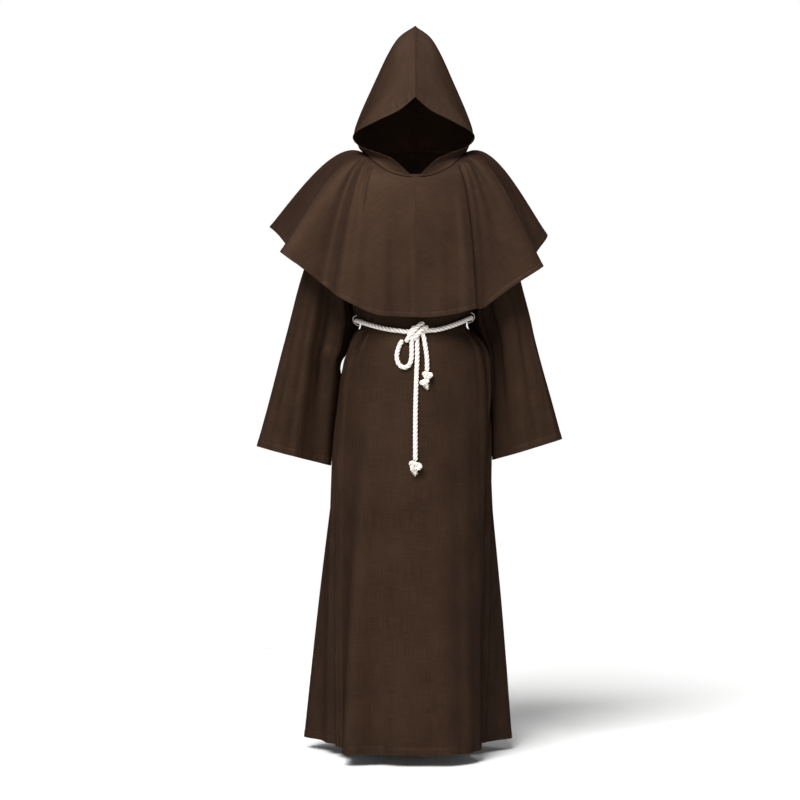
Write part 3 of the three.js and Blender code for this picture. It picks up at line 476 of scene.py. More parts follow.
# Strands of the slip knot, in the same columns
KNOT_STRANDS = {
    "belt from the right": [
        (-0.05, -0.4545, 0.0012), (-0.038, -0.456, 0.0008), (-0.026, -0.458, 0.001),
        (-0.012, -0.458, 0.002), (0.002, -0.462, 0.001),
    ],
    "belt from the left": [
        (0.05, -0.4535, 0.0012), (0.038, -0.4545, 0.0008), (0.026, -0.456, 0.001),
        (0.012, -0.458, 0.002), (0, -0.462, 0.001),
    ],
    "loop's upper leg": [
        (-0.024, -0.484, 0.001), (-0.017, -0.473, 0.004), (-0.012, -0.46, 0.008),
        (-0.003, -0.449, 0.008), (0.007, -0.447, 0.004),
    ],
    "loop's lower leg": [
        (-0.008, -0.484, 0.001), (-0.007, -0.474, 0.004), (-0.003, -0.462, 0.006),
    ],
    "long end": [
        (0.0045, -0.486, 0.001), (0.0045, -0.474, 0.003), (0.002, -0.462, 0.004),
    ],
    "short end": [
        (0.0225, -0.486, 0.001), (0.021, -0.474, 0.004), (0.016, -0.463, 0.008),
        (0.008, -0.455, 0.008),
    ],
    "upper wrap": [
        (0.02, -0.438, 0.002), (0.013, -0.44, 0.01), (0.003, -0.449, 0.014),
        (-0.006, -0.46, 0.013), (-0.013, -0.47, 0.006),
    ],
    "lower wrap": [
        (0.03, -0.447, 0.002), (0.022, -0.449, 0.01), (0.012, -0.458, 0.015),
        (0.002, -0.469, 0.013), (-0.003, -0.479, 0.005),
    ],
}

# A belt carrier from its upper end to its lower one: how far it stands off the robe, and its rise
# above the middle of the rope
CARRIER_ROUTE = table("off rise", [
    (0, 0.013),
    (0.005, 0.0126),
    (0.011, 0.0105),
    (0.0154, 0.006),
    (0.0166, 0),
    (0.0154, -0.006),
    (0.011, -0.0105),
    (0.005, -0.0126),
    (0, -0.013),
])

# The two carriers: their place round the robe, and their least distance from its face
CARRIERS = {"left": (0.0, 0.0024), "right": (math.pi, 0.0014)}

# The end knots: the node that each stands for, its width, depth and height, and its lean in degrees
END_KNOTS = {
    "knot_long_end": ("end_knot_long", 0.032, 0.026, 0.028, 20),
    "knot_short_end": ("end_knot_short", 0.026, 0.021, 0.021, 10),
    "knot_short_tail": ("end_knot_short_tail", 0.025, 0.018, 0.017, -24),
}

# The frayed ends: the knot's node, where the yarns point, how far from the knot's middle they
# start, and their length
FRAYED_ENDS = {
    "frayed_long_end": ("end_knot_long", (-0.1, 0.0, -1), (0.0, 0.0, -0.010), 0.009),
    "frayed_short_end": ("end_knot_short_tail", (0.25, -0.05, -1), (0.003, 0.0, -0.004), 0.012),
}

# The robe's panels: node, middle in degrees, columns of the mesh, flat size, and the share of it
# that the cloth fills
ROBE_PANELS = {
    "robe_front_cloth": ("robe_front", 270, 190, (0.86, 1.41), 0.745),
    "robe_back_cloth": ("robe_back", 90, 170, (0.86, 1.50), 0.705),
}


def hermite(start, end, slope_start, slope_end, share):
    """Cubic between two values with given slopes."""
    square = share * share
    cube = square * share
    held = start * (2 * cube - 3 * square + 1) + end * (3 * square - 2 * cube)
    return held + slope_start * (cube - 2 * square + share) + slope_end * (cube - square)


def along(stack, place):
    """Smooth curve through the rows of stack, which lie at the whole numbers of place."""
    place = np.asarray(place, float)
    stack = np.asarray(stack, float)
    if stack.ndim == 1:
        stack = np.broadcast_to(stack.reshape((-1,) + (1,) * place.ndim), (len(stack),) + place.shape)
    last = len(stack) - 1
    index = np.clip(np.floor(place).astype(int), 0, last - 1)
    share = place - index

    def row(k):
        return np.take_along_axis(stack, np.clip(k, 0, last)[None], axis=0)[0]

    before, here, after, beyond = row(index - 1), row(index), row(index + 1), row(index + 2)
    return hermite(here, after, (after - before) / 2, (beyond - here) / 2, share)


def around(degrees, values, at):
    """The same for values that lie round a circle at the given degrees."""
    steps = np.append(degrees - degrees[0], 360.0)
    place = (np.asarray(at, float) - degrees[0]) % 360
    index = np.clip(np.searchsorted(steps, place, side="right") - 1, 0, len(values) - 1)
    gaps = (np.roll(degrees, -1) - np.roll(degrees, 1)) % 360
    slopes = (np.roll(values, -1) - np.roll(values, 1)) / gaps
    after = (index + 1) % len(values)
    width = steps[index + 1] - steps[index]
    share = (place - steps[index]) / width
    return hermite(values[index], values[after], slopes[index] * width, slopes[after] * width, share)


def bump(distance):
    return np.where(np.abs(distance) < 1, (1 + np.cos(np.pi * distance)) / 2, 0.0)


def angle_between(a, b):
    return (a - b + 540) % 360 - 180


def signed_power(value, power):
    return np.sign(value) * np.abs(value) ** power


def stack_points(x, y, z):
    return np.stack(np.broadcast_arrays(x, y, z), axis=-1)


def unit(vectors):
    return vectors / np.maximum(np.linalg.norm(vectors, axis=-1, keepdims=True), 1e-12)


def run_along(line):
    """Distance of each point of a line from its first."""
    return np.append(0, np.cumsum(np.linalg.norm(np.diff(line, axis=0), axis=-1)))


def normals_of(face, u, v, side):
    """Unit normals of a face given by a function of two values."""
    step = 1e-3
    du = face(u + step, v) - face(u - step, v)
    dv = face(u, v + step) - face(u, v - step)
    return unit(np.cross(du, dv) * side)


def raised(face, u, v, side, out):
    """Points of a face, moved outwards by a distance."""
    return face(u, v) + normals_of(face, u, v, side) * np.asarray(out)[..., None]


def crease_sum(creases, across, down, turning=True):
    """Height of all creases of a table at a place on the cloth."""
    total = np.zeros(np.broadcast(across, down).shape)
    for k in range(len(creases["out"])):
        row = {name: values[k] for name, values in creases.items()}
        share = (down - row["top"]) / (row["end"] - row["top"])
        centre = row["at_top"] + (row["at_end"] - row["at_top"]) * share
        distance = angle_between(across + 720, centre) if turning else across - centre
        distance = distance / (row["spread"] * (1 + row["lean"] * np.sign(distance)))
        grown = np.clip(share / max(row["fade_in"], 1e-3), 0, 1)
        left = np.clip((1 - share) / max(row["fade_out"], 1e-3), 0, 1)
        ease = grown * grown * (3 - 2 * grown) * left * left * (3 - 2 * left)
        total += row["out"] * ease * bump(distance)
    return total


# The robe

def fold_sum(angle, z):
    degrees = np.degrees(angle)
    total = np.zeros(np.broadcast(angle, z).shape)
    for at, out, spread, top, full in zip(*ROBE_FOLDS.values()):
        growth = np.clip((top - z) / (top - full), 0, 1)
        total += out * growth * bump(angle_between(degrees + 720, at) / spread)
    return total


def robe_point(angle, place):
    """Outer face of the robe's main form: the angle is 270 degrees in front, place goes down the rings."""
    ring = {name: along(values, place) for name, values in ROBE_RINGS.items()}
    across, forward = np.cos(angle), np.sin(angle)
    half_width = np.where(across > 0, ring["left"], ring["right"])
    depth = np.where(forward > 0, ring["back"], ring["front"])
    end_z = np.where(forward > 0, ring["back_z"], ring["front_z"])
    z = ring["side_z"] * across * across + end_z * forward * forward
    swell = fold_sum(angle, z)
    x = (half_width + swell) * signed_power(across, 2 / RING_SQUARENESS)
    y = ring["seam_y"] + (depth + swell) * signed_power(forward, 2 / RING_SQUARENESS)
    return stack_points(x, y, z)


def robe_face(angle, place):
    """The robe with its creases."""
    out = crease_sum(ROBE_CREASES, np.degrees(angle), robe_point(angle, place)[..., 2])
    return raised(robe_point, angle, place, -1, out)


def armhole_turn(place):
    share = (place - RING_SHOULDER) / (RING_UNDERARM - RING_SHOULDER)
    inside = (share > 0) & (share < 1)
    return np.where(inside, ARMHOLE_HALF_TURN * np.sqrt(np.clip(1 - (2 * share - 1) ** 2, 0, 1)), 0.0)


def armhole_place(turn):
    """Place down the rings at a turn round the armhole, from its top at 0 to its foot at pi."""
    half = (RING_UNDERARM - RING_SHOULDER) / 2
    return RING_SHOULDER + half * (1 - np.cos(turn))


def neck_point(angle):
    """The cape's neck edge, just outside the robe's own neckline."""
    return raised(robe_point, angle, np.zeros(np.shape(angle)), -1, CLOTH + 2 * SEAM_GAP)


def bisect(grows, goal, low, high):
    """Places where an increasing function reaches its goal, for many values at once."""
    low = np.full(np.shape(goal), low, float)
    high = np.full(np.shape(goal), high, float)
    for _ in range(HALVINGS):
        middle = (low + high) / 2
        below = grows(middle) < goal
        low = np.where(below, middle, low)
        high = np.where(below, high, middle)
    return (low + high) / 2


def place_at_height(angle, z):
    return bisect(lambda place: -robe_point(angle, place)[..., 2], -z, RING_BELT - 2, RING_LAST)


def beside_robe(angle, z, off):
    """Points at a distance from the robe's face, straight out and level."""
    place = place_at_height(angle, z)
    out = normals_of(robe_point, angle, place, -1)
    out[..., 2] = 0
    return robe_point(angle, place) + unit(out) * np.asarray(off)[..., None]


def before_robe(x, z, off):
    """Points in front of the robe at their own x and z."""
    x, z, off = (np.asarray(value, float) for value in (x, z, off))
    angle = bisect(lambda a: robe_point(a, place_at_height(a, z))[..., 0], x, FRONT_FROM, FRONT_TO)
    point = beside_robe(angle, z, off + SEAM_GAP)
    point[..., 0] = x
    return point


def belt_height(angle):
    across, forward = np.cos(angle), np.sin(angle)
    side = np.where(across > 0, BELT_LEFT_Z, BELT_RIGHT_Z)
    end = np.where(forward > 0, BELT_BACK_Z, BELT_FRONT_Z)
    return side * across * across + end * forward * forward


# Meshes

def deselect_all():
    for item in bpy.context.selected_objects:
        item.select_set(False)


def make_active(item):
    deselect_all()
    item.select_set(True)
    bpy.context.view_layer.objects.active = item


def mesh_object(name, points, faces, material, uvs=None):
    """A mesh from points and faces, with its map from one pair of values for each face corner."""
    mesh = bpy.data.meshes.new(name)
    mesh.from_pydata(np.reshape(points, (-1, 3)).tolist(), [], faces)
    if uvs is not None:
        layer = mesh.uv_layers.new(name="cut")
        layer.data.foreach_set("uv", np.asarray(uvs, np.float32).ravel())
    mesh.materials.append(material)
    mesh.polygons.foreach_set("use_smooth", np.ones(len(mesh.polygons), bool))
    mesh.update()
    item = bpy.data.objects.new(name, mesh)
    bpy.context.scene.collection.objects.link(item)
    return item


def grid_faces(rows, columns, closed, side):
    """Quads of a grid, and the grid place of each of their corners."""
    row, column = np.meshgrid(np.arange(rows - 1), np.arange(columns - 1), indexing="ij")
    row, column = row.ravel(), column.ravel()
    corner_rows = np.stack([row, row, row + 1, row + 1], axis=-1)
    corner_columns = np.stack([column, column + 1, column + 1, column], axis=-1)
    if side < 0:
        corner_rows, corner_columns = corner_rows[:, ::-1], corner_columns[:, ::-1]
    width = columns - 1 if closed else columns
    return (corner_rows * width + corner_columns % width).tolist(), corner_rows, corner_columns


def cloth_map(points):
    """Place on the cut cloth in metres: across from the middle column, and down the middle column."""
    across = np.linalg.norm(np.diff(points, axis=1), axis=-1)
    across = np.concatenate([np.zeros((len(points), 1)), np.cumsum(across, axis=1)], axis=1)
    across -= across[:, [across.shape[1] // 2]]
    down = run_along(points[:, points.shape[1] // 2])
    return np.stack([across, np.broadcast_to(-down[:, None], across.shape)], axis=-1)


def cloth_shell(name, points, material, side, thickness, offset, closed=False):
    """A shell on a grid of points. A closed grid repeats its first column."""
    faces, corner_rows, corner_columns = grid_faces(*points.shape[:2], closed, side)
    uvs = cloth_map(points)[corner_rows, corner_columns]
    item = mesh_object(name, points[:, :-1] if closed else points, faces, material, uvs)
    make_active(item)
    shell = item.modifiers.new("thickness", "SOLIDIFY")
    shell.thickness = thickness
    shell.offset = offset
    shell.use_quality_normals = offset != 0
    bpy.ops.object.modifier_apply(modifier=shell.name)
    return item


def cloth_piece(name, points, material, side, closed=False):
    """A cut piece of cloth, from the points of its outer face."""
    item = cloth_shell(name, points, material, side, VISIBLE_CLOTH, -1, closed)
    bpy.ops.object.shade_smooth_by_angle(angle=math.radians(60))
    return item


def seam_allowance(name, left, middle, right, material, slot):
    """The strip of cloth inside a seam: three lines of points, one on each side and one between."""
    points = np.stack([left, middle, right], axis=1)
    placed(cloth_shell(name, points, material, 1, ALLOWANCE_THICKNESS, 0), None)


def even_places(face, across, start, end, count, hem):
    """Places from start to end, evenly spaced along the cloth, and closer where a hem is sewn."""
    fine = np.linspace(start, end, CLOTH_STEPS)
    line = face(np.full(len(fine), across), fine)
    run = run_along(line)
    wanted = np.linspace(0, run[-1], count)
    wanted = wanted[wanted < run[-1] - max(hem) - ROW_MARGIN]
    wanted = np.concatenate([wanted, run[-1] - np.array(hem)[::-1], [run[-1]]])
    return np.interp(wanted, run, fine)


def grid_normals(points, side):
    """Outward normals at the points of a grid."""
    down, across = np.gradient(points, axis=(0, 1))
    return unit(np.cross(across, down) * side)


def run_from_edge(points, edge):
    """Distance of each grid point from one edge, along the cloth."""
    turned = {"bottom": points[::-1], "top": points, "first": points.transpose(1, 0, 2)}[edge]
    steps = np.linalg.norm(np.diff(turned, axis=0), axis=-1)
    run = np.concatenate([np.zeros((1, turned.shape[1])), np.cumsum(steps, axis=0)])
    return {"bottom": run[::-1], "top": run, "first": run.T}[edge]


def sewn_edge(points, side, edge, width, seed):
    """The grid with its edge turned in and stitched down: a doubled band, a groove along the
    stitches, and the small puckers that sewing leaves."""
    run = run_from_edge(points, edge)
    rng = np.random.default_rng(seed)
    length = np.arange(points.shape[0] if edge == "first" else points.shape[1]) * PUCKER_STEP
    pucker = np.zeros(len(length))
    for period in PUCKER_PERIODS:
        pucker += np.sin(2 * np.pi * length / period + rng.uniform(0, 2 * np.pi)) / 3
    pucker = pucker[:, None] if edge == "first" else pucker[None, :]
    band = np.where(run < width, 1.0, np.clip(1 - (run - width) / BAND_EASE, 0, 1))
    groove = np.exp(-(((run - width) / GROOVE_HALF) ** 2))
    near = np.exp(-(((run - width) / PUCKER_REACH) ** 2))
    out = BAND_RISE * band - GROOVE_DEPTH * groove + PUCKER_RISE * near * pucker
    return points + grid_normals(points, side) * out[..., None]


def line_from_edge(points, side, edge, distance):
    """A line on the cloth at a distance from one edge, with the normals along it."""
    run = run_from_edge(points, edge)
    normals = grid_normals(points, side)
    if edge == "first":
        run, points, normals = run.T, points.transpose(1, 0, 2), normals.transpose(1, 0, 2)
    if edge == "bottom":
        run, points, normals = run[::-1], points[::-1], normals[::-1]
    index = np.argmax(run >= distance, axis=0)
    index = np.maximum(index, 1)
    columns = np.arange(run.shape[1])
    before, after = run[index - 1, columns], run[index, columns]
    share = ((distance - before) / np.maximum(after - before, 1e-9))[:, None]
    line = points[index - 1, columns] * (1 - share) + points[index, columns] * share
    return line, normals[index, columns]


def resampled(line, step, *others):
    """A line with a point at every step, and the other lines at the same places."""
    run = run_along(line)
    count = max(int(round(run[-1] / step)), 2)
    wanted = np.linspace(0, run[-1], count + 1)

    def at(values):
        return np.stack([np.interp(wanted, run, values[:, k]) for k in range(3)], axis=-1)

    return [at(line)] + [at(other) for other in others]


def stitches(name, lines, material):
    """Stitches along lines on the cloth: each one a short thread, pointed where it goes through."""
    around_thread = np.linspace(0, 2 * np.pi, 5)[:-1]
    points, faces = [], []
    for line, normals in lines:
        centres, lifts = resampled(line, STITCH_PITCH, normals)
        ahead = unit(np.gradient(centres, axis=0))
        lifts = unit(lifts)
        aside = np.cross(ahead, lifts)
        for centre, lift, forward, across in zip(centres, lifts, ahead, aside):
            first = len(points)
            half = forward * STITCH_LENGTH / 2
            points.append(centre - half - lift * STITCH_RADIUS)
            for share in (-STITCH_SHOULDER, STITCH_SHOULDER):
                for turn in around_thread:
                    ring = (across * math.cos(turn) + lift * math.sin(turn)) * STITCH_RADIUS
                    points.append(centre + half * share + ring + lift * STITCH_RADIUS * STITCH_LIFT)
            points.append(centre + half - lift * STITCH_RADIUS)
            for k in range(4):
                after = (k + 1) % 4
                faces.append((first, first + 1 + after, first + 1 + k))
                faces.append((first + 1 + k, first + 1 + after, first + 5 + after))
                faces.append((first + 1 + k, first + 5 + after, first + 5 + k))
                faces.append((first + 9, first + 5 + k, first + 5 + after))
    item = mesh_object(name, points, faces, material)
    face_outwards(item)
    return item


def face_outwards(item):
    make_active(item)
    bpy.ops.object.mode_set(mode="EDIT")
    bpy.ops.mesh.select_all(action="SELECT")
    bpy.ops.mesh.normals_make_consistent(inside=False)
    bpy.ops.object.mode_set(mode="OBJECT")


# Rope

def smooth_path(points, step):
    """An even path along a smooth curve through the points."""
    points = np.asarray(points, float)
    places = np.linspace(0, len(points) - 1, len(points) * CURVE_STEPS)
    curve = np.stack([along(points[:, k], places) for k in range(3)], axis=-1)
    return resampled(curve, step)[0]


def path_frames(path):
    """Directions ahead and to two sides all along a path, without needless turning."""
    ahead = unit(np.gradient(path, axis=0))
    start = np.array((0.0, 0.0, 1.0)) if abs(ahead[0][2]) < 0.9 else np.array((0.0, 1.0, 0.0))
    aside = []
    for forward in ahead:
        start = unit(start - forward * np.dot(start, forward))
        aside.append(start)
    aside = np.array(aside)
    return ahead, aside, np.cross(ahead, aside)


def tube_parts(path, radius, sides, lead=ROPE_LEAD):
    """Points, faces and map of a round or lobed tube with rounded ends.

    radius gives the distance from the path at a turn and a run along it. The map's first value is the
    same all along a strand, and its second counts the leads."""
    ahead, aside, upward = path_frames(path)
    run = run_along(path)
    turn = np.linspace(0, 2 * np.pi, sides + 1)
    reach = radius(turn[None, :], run[:, None]) * np.ones((len(run), 1))
    rim = np.median(reach)
    from_end = np.minimum(run, run[-1] - run)
    closing = np.sqrt(np.clip(1 - (1 - np.clip(from_end / rim, 0, 1)) ** 2, BLUNT_END, 1))
    reach = reach * closing[:, None]
    ring = aside[:, None] * np.cos(turn)[None, :, None] + upward[:, None] * np.sin(turn)[None, :, None]
    points = path[:, None] + ring * reach[..., None]
    faces, corner_rows, corner_columns = grid_faces(len(run), sides + 1, True, 1)
    leads = run[corner_rows] / lead
    uvs = np.stack([corner_columns / sides - leads, leads], axis=-1)
    return points[:, :-1].reshape(-1, 3), faces, uvs


def joined_tubes(name, tubes, material, sides):
    """One object from several tubes, each closed by one face at both ends."""
    points, faces, uvs = [], [], []
    end_map = [(k / sides, 0.0) for k in range(sides)]
    for tube_points, tube_faces, tube_uvs in tubes:
        first = len(points)
        last = first + len(tube_points) - sides
        points.extend(tube_points.tolist())
        faces.extend((np.array(tube_faces) + first).tolist())
        faces.extend([list(range(first, first + sides)), list(range(last, last + sides))])
        uvs.extend(tube_uvs.reshape(-1, 2).tolist() + end_map * 2)
    item = mesh_object(name, points, faces, material, uvs)
    face_outwards(item)
    return item


def laid_rope(radius=ROPE_RADIUS, lead=ROPE_LEAD):
    """Outline of a rope of three strands, which wind round it once in its lead."""
    def outline(turn, run):
        lobe = np.abs(np.cos(STRANDS / 2 * (turn - 2 * np.pi * run / lead)))
        return radius * (1 - STRAND_DEPTH * (1 - lobe ** STRAND_ROUNDNESS))
    return outline


def thinning_yarn(turn, run):
    """Outline of a loose yarn, which is half as thick at its end."""
    return YARN_RADIUS * (1 - 0.5 * run / run[-1])


def rope_piece(name, routes, material):
    tubes = [tube_parts(smooth_path(route, ROPE_STEP), laid_rope(), ROPE_SIDES) for route in routes]
    return joined_tubes(name, tubes, material, ROPE_SIDES)


def route_points(route):
    return before_robe(route["x"], route["z"], ROPE_RADIUS + route["off"])


def trefoil(centre, wide, deep, tall, lean):
    """A small overhand knot: one closed strand that passes over and under itself."""
    turn = np.linspace(0, 2 * np.pi, 90)
    x = (np.sin(turn) + 2 * np.sin(2 * turn)) / TREFOIL_REACH * (wide / 2 - END_KNOT_INSET)
    y = -np.sin(3 * turn) * (deep / 2 - END_KNOT_INSET)
    z = (np.cos(turn) - 2 * np.cos(2 * turn)) / TREFOIL_REACH * (tall / 2 - END_KNOT_INSET)
    slant = math.radians(lean)
    turned_x = x * math.cos(slant) + z * math.sin(slant)
    turned_z = z * math.cos(slant) - x * math.sin(slant)
    return resampled(stack_points(turned_x, y, turned_z) + centre, END_KNOT_STEP)[0]


def loose_yarns(start, direction, length, seed):
    """Paths of the loose yarns at a cut end of the rope."""
    rng = np.random.default_rng(seed)
    direction = np.asarray(direction, float) / np.linalg.norm(direction)
    share = np.linspace(0, 1, 7)[:, None]
    paths = []
    for _ in range(YARN_COUNT):
        origin = start + rng.normal(0, YARN_SCATTER, 3)
        flare = rng.normal(0, YARN_SPREAD, 3)
        curl = rng.normal(0, YARN_SPREAD * YARN_CURL, 3)
        reach = length * rng.uniform(*YARN_LENGTHS)
        straight = origin + direction * reach * share
        paths.append(straight + flare * share ** YARN_FLARE_POWER + curl * np.sin(np.pi * share))
    return paths


# Materials

TWILL_DEGREES = 27
RIB_SPACING = 0.0024

# A wave texture repeats this often in one unit at a scale of 1
WAVE_SCALE = 2 * math.pi / 20

# Numbers of a colour mix's two colours and of its result
MIX_FROM = 6
MIX_TO = 7
MIX_COLOUR = 2


def linear(code):
    """A colour in sRGB hex as linear values."""
    parts = [int(code[k:k + 2], 16) / 255 for k in (1, 3, 5)]
    return [p / 12.92 if p <= 0.04045 else ((p + 0.055) / 1.055) ** 2.4 for p in parts] + [1.0]


def add_node(tree, kind, inputs=None, **settings):
    """Adds a node with its settings, and sets or links its inputs. A node stands for its first output."""
    node = tree.nodes.new("ShaderNode" + kind)
    for name, value in settings.items():
        setattr(node, name, value)
    for name, value in (inputs or {}).items():
        if isinstance(value, bpy.types.Node):
            value = value.outputs[0]
        if isinstance(value, bpy.types.NodeSocket):
            tree.links.new(value, node.inputs[name])
        else:
            node.inputs[name].default_value = value
    return node


def new_material(name):
    """An empty material, and what adds nodes to it."""
    material = bpy.data.materials.new(name)
    material.use_nodes = True
    material.node_tree.nodes.clear()
    return material, partial(add_node, material.node_tree)


def finish_material(add, inputs):
    shader = add("BsdfPrincipled", inputs)
    add("OutputMaterial", {"Surface": shader})


def gabardine(name, dark, light):
    """Polyester gabardine: a close, steep twill of fine yarns with a dull satin sheen.
    Its ribs are 0.5 mm apart and too fine to show, so they are drawn 2.4 mm apart."""
    material, add = new_material(name)
    cut = add("UVMap", uv_map="cut")
    slanted = add("Mapping", {"Vector": cut, "Rotation": (0, 0, math.radians(TWILL_DEGREES))})
    ribs = add("TexWave", {
        "Vector": slanted, "Scale": WAVE_SCALE / RIB_SPACING, "Distortion": 1.5,
        "Detail": 1.0, "Detail Scale": 3.0,
    }, wave_type="BANDS", bands_direction="X").outputs["Fac"]
    drawn = add("Mapping", {"Vector": cut, "Scale": (420, 16, 1)})
    slubs = add("TexNoise", {"Vector": drawn, "Scale": 1.0, "Detail": 3.0})
    crossed = add("Mapping", {"Vector": cut, "Scale": (24, 520, 1)})
    wefts = add("TexNoise", {"Vector": crossed, "Scale": 1.0, "Detail": 2.0})
    cloud = add("TexNoise", {"Vector": cut, "Scale": 9.0, "Detail": 4.0})
    yarns = add("Math", {0: slubs, 1: wefts}, operation="ADD")
    blend = add("Math", {0: yarns, 1: cloud}, operation="ADD")
    ribbed = add("Math", {0: ribs, 1: 0.16, 2: blend}, operation="MULTIPLY_ADD")
    shade = add("MapRange", {"Value": ribbed, "From Min": 1.15, "From Max": 2.0})
    colour = add("Mix", {
        "Factor": shade, MIX_FROM: linear(dark), MIX_TO: linear(light),
    }, data_type="RGBA")
    twill = add("Bump", {"Height": ribs, "Strength": 0.35, "Distance": 0.00025})
    woven = add("Bump", {"Height": yarns, "Normal": twill, "Strength": 0.4, "Distance": 0.0005})
    finish_material(add, {
        "Base Color": colour.outputs[MIX_COLOUR], "Roughness": 0.45, "Specular IOR Level": 0.14,
        "Specular Tint": linear("#c79a76"), "Sheen Weight": 0.02, "Sheen Roughness": 0.4,
        "Sheen Tint": linear("#9c6f50"), "Normal": woven,
    })
    return material


def twisted_cotton(name, hollow_shade_colour, dark, light):
    """Twisted cotton: soft matt yarns that run along the rope, six to a strand, and hollows between the
    strands that are painted darker as shade."""
    material, add = new_material(name)
    cut = add("UVMap", uv_map="cut")
    split = add("SeparateXYZ", {"Vector": cut}).outputs
    strands = add("Math", {0: split["X"], 1: STRANDS}, operation="MULTIPLY")
    between = add("Math", {0: strands, 1: 0.5}, operation="PINGPONG")
    # Painted shade: the colour darkens towards the hollows between the strands.
    painted_hollow_shade = add("MapRange", {"Value": between, "From Min": 0.22, "From Max": 0.5})
    turn = add("Math", {0: split["X"], 1: split["Y"]}, operation="ADD")
    unwound = add("CombineXYZ", {"X": turn, "Y": split["Y"]})
    yarns = add("TexWave", {
        "Vector": unwound, "Scale": WAVE_SCALE * STRANDS * YARNS_IN_STRAND, "Distortion": 0.6,
        "Detail": 2.0, "Detail Scale": 4.0,
    }, wave_type="BANDS", bands_direction="X").outputs["Fac"]
    place = add("TexCoord").outputs["Object"]
    fuzz = add("TexNoise", {"Vector": place, "Scale": 900.0, "Detail": 3.0})
    cotton = add("Mix", {
        "Factor": fuzz, MIX_FROM: linear(dark), MIX_TO: linear(light),
    }, data_type="RGBA").outputs[MIX_COLOUR]
    colour = add("Mix", {
        "Factor": painted_hollow_shade, MIX_FROM: cotton, MIX_TO: linear(hollow_shade_colour),
    }, data_type="RGBA")
    lined = add("Bump", {"Height": yarns, "Strength": 0.5, "Distance": 0.0003})
    fuzzy = add("Bump", {"Height": fuzz, "Normal": lined, "Strength": 0.35, "Distance": 0.0003})
    finish_material(add, {
        "Base Color": colour.outputs[MIX_COLOUR], "Roughness": 0.85, "Specular IOR Level": 0.2,
        "Normal": fuzzy,
    })
    return material


def spun_fibres(name, dark, light, roughness, gloss):
    """Fine spun fibres, mottled along their length: polyester thread is tight and faintly glossy,
    loose cotton yarn is matt."""
    material, add = new_material(name)
    place = add("TexCoord").outputs["Object"]
    plies = add("TexNoise", {"Vector": place, "Scale": 1400.0, "Detail": 2.0})
    colour = add("Mix", {
        "Factor": plies, MIX_FROM: linear(dark), MIX_TO: linear(light),
    }, data_type="RGBA")
    bumpy = add("Bump", {"Height": plies, "Strength": 0.4, "Distance": 0.0002})
    finish_material(add, {
        "Base Color": colour.outputs[MIX_COLOUR], "Roughness": roughness, "Specular IOR Level": gloss,
        "Normal": bumpy,
    })
    return material


def studio_floor(name):
    """Matt white studio floor, a touch uneven in tone."""
    material, add = new_material(name)
    place = add("TexCoord").outputs["Object"]
    cloud = add("TexNoise", {"Vector": place, "Scale": 1.5, "Detail": 2.0})
    colour = add("Mix", {
        "Factor": cloud, MIX_FROM: linear("#fbfaf9"), MIX_TO: linear("#ffffff"),
    }, data_type="RGBA")
    finish_material(add, {
        "Base Color": colour.outputs[MIX_COLOUR], "Roughness": 0.9, "Specular IOR Level": 0.1,
    })
    return material


# Camera, light and floor

FLOOR_Z = HEM_Z - 0.030
FLOOR_RADIUS = 2.6
CAMERA_PLACE = (-0.0375, -6.0, -0.625)
LENS_MM = 108
SENSOR_MM = 36

# The world is white up to one height of the view's direction and dim from another
WORLD_DIM = 0.14
WHITE_UP_TO = 0.19
DIM_FROM = 0.32

# Lights: kind, place, the point that they are turned to, and settings
LIGHTS = {
    "key_left": ("SUN", (-0.9, -2.4, 2.0), (0, 0, -0.5), {"energy": 4.0, "angle": math.radians(30)}),
    "overhead_left": ("AREA", (-0.8, -0.5, 1.35), (-0.2, 0, -0.1), {"energy": 9, "size": 0.7}),
    "overhead_right": ("AREA", (0.8, -0.5, 1.35), (0.2, 0, -0.1), {"energy": 9, "size": 0.7}),
}


def add_camera():
    data = bpy.data.cameras.new("studio_camera")
    data.lens = LENS_MM
    data.sensor_width = SENSOR_MM
    data.clip_start = 0.1
    data.clip_end = 100
    camera = bpy.data.objects.new("studio_camera", data)
    camera.location = CAMERA_PLACE
    camera.rotation_euler = (math.pi / 2, 0, 0)
    bpy.context.scene.collection.objects.link(camera)
    bpy.context.scene.camera = camera


def turned_to(aim):
    """Rotation that points a light along a direction."""
    from_above = math.atan2(math.hypot(aim[0], aim[1]), -aim[2])
    return (from_above, 0, math.atan2(-aim[0], aim[1]))


def add_light(name, kind, place, target, settings):
    data = bpy.data.lights.new(name, kind)
    for setting, value in settings.items():
        setattr(data, setting, value)
    light = bpy.data.objects.new(name, data)
    light.location = place
    light.rotation_euler = turned_to(np.array(target) - np.array(place))
    light.visible_camera = False
    bpy.context.scene.collection.objects.link(light)


def add_world():
    """A studio that is white below and round the horizon and dim above, so that light has a direction."""
    world = bpy.data.worlds.new("white_studio")
    world.use_nodes = True
    tree = world.node_tree
    place = add_node(tree, "TexCoord").outputs["Generated"]
    height = add_node(tree, "SeparateXYZ", {"Vector": place}).outputs["Z"]
    dimmed = add_node(tree, "MapRange", {
        "Value": height, "From Min": WHITE_UP_TO, "From Max": DIM_FROM, "To Min": 1.0, "To Max": WORLD_DIM,
    }, interpolation_type="SMOOTHSTEP")
    background = tree.nodes["Background"]
    background.inputs["Color"].default_value = linear("#ffffff")
    tree.links.new(dimmed.outputs[0], background.inputs["Strength"])
    bpy.context.scene.world = world
    world.cycles_visibility.glossy = False


def add_studio():
    add_world()
    bpy.context.scene.view_settings.view_transform = "Standard"
    for name, (kind, place, target, settings) in LIGHTS.items():
        add_light(name, kind, place, target, settings)
    deselect_all()
    bpy.ops.mesh.primitive_circle_add(
        vertices=96, radius=FLOOR_RADIUS, fill_type="NGON", location=(0, 0, FLOOR_Z),
    )
    floor = bpy.context.object
    floor.name = "studio_floor"
    floor.data.materials.append(studio_floor("matt_white_floor"))
    floor.visible_glossy = False


# The pieces

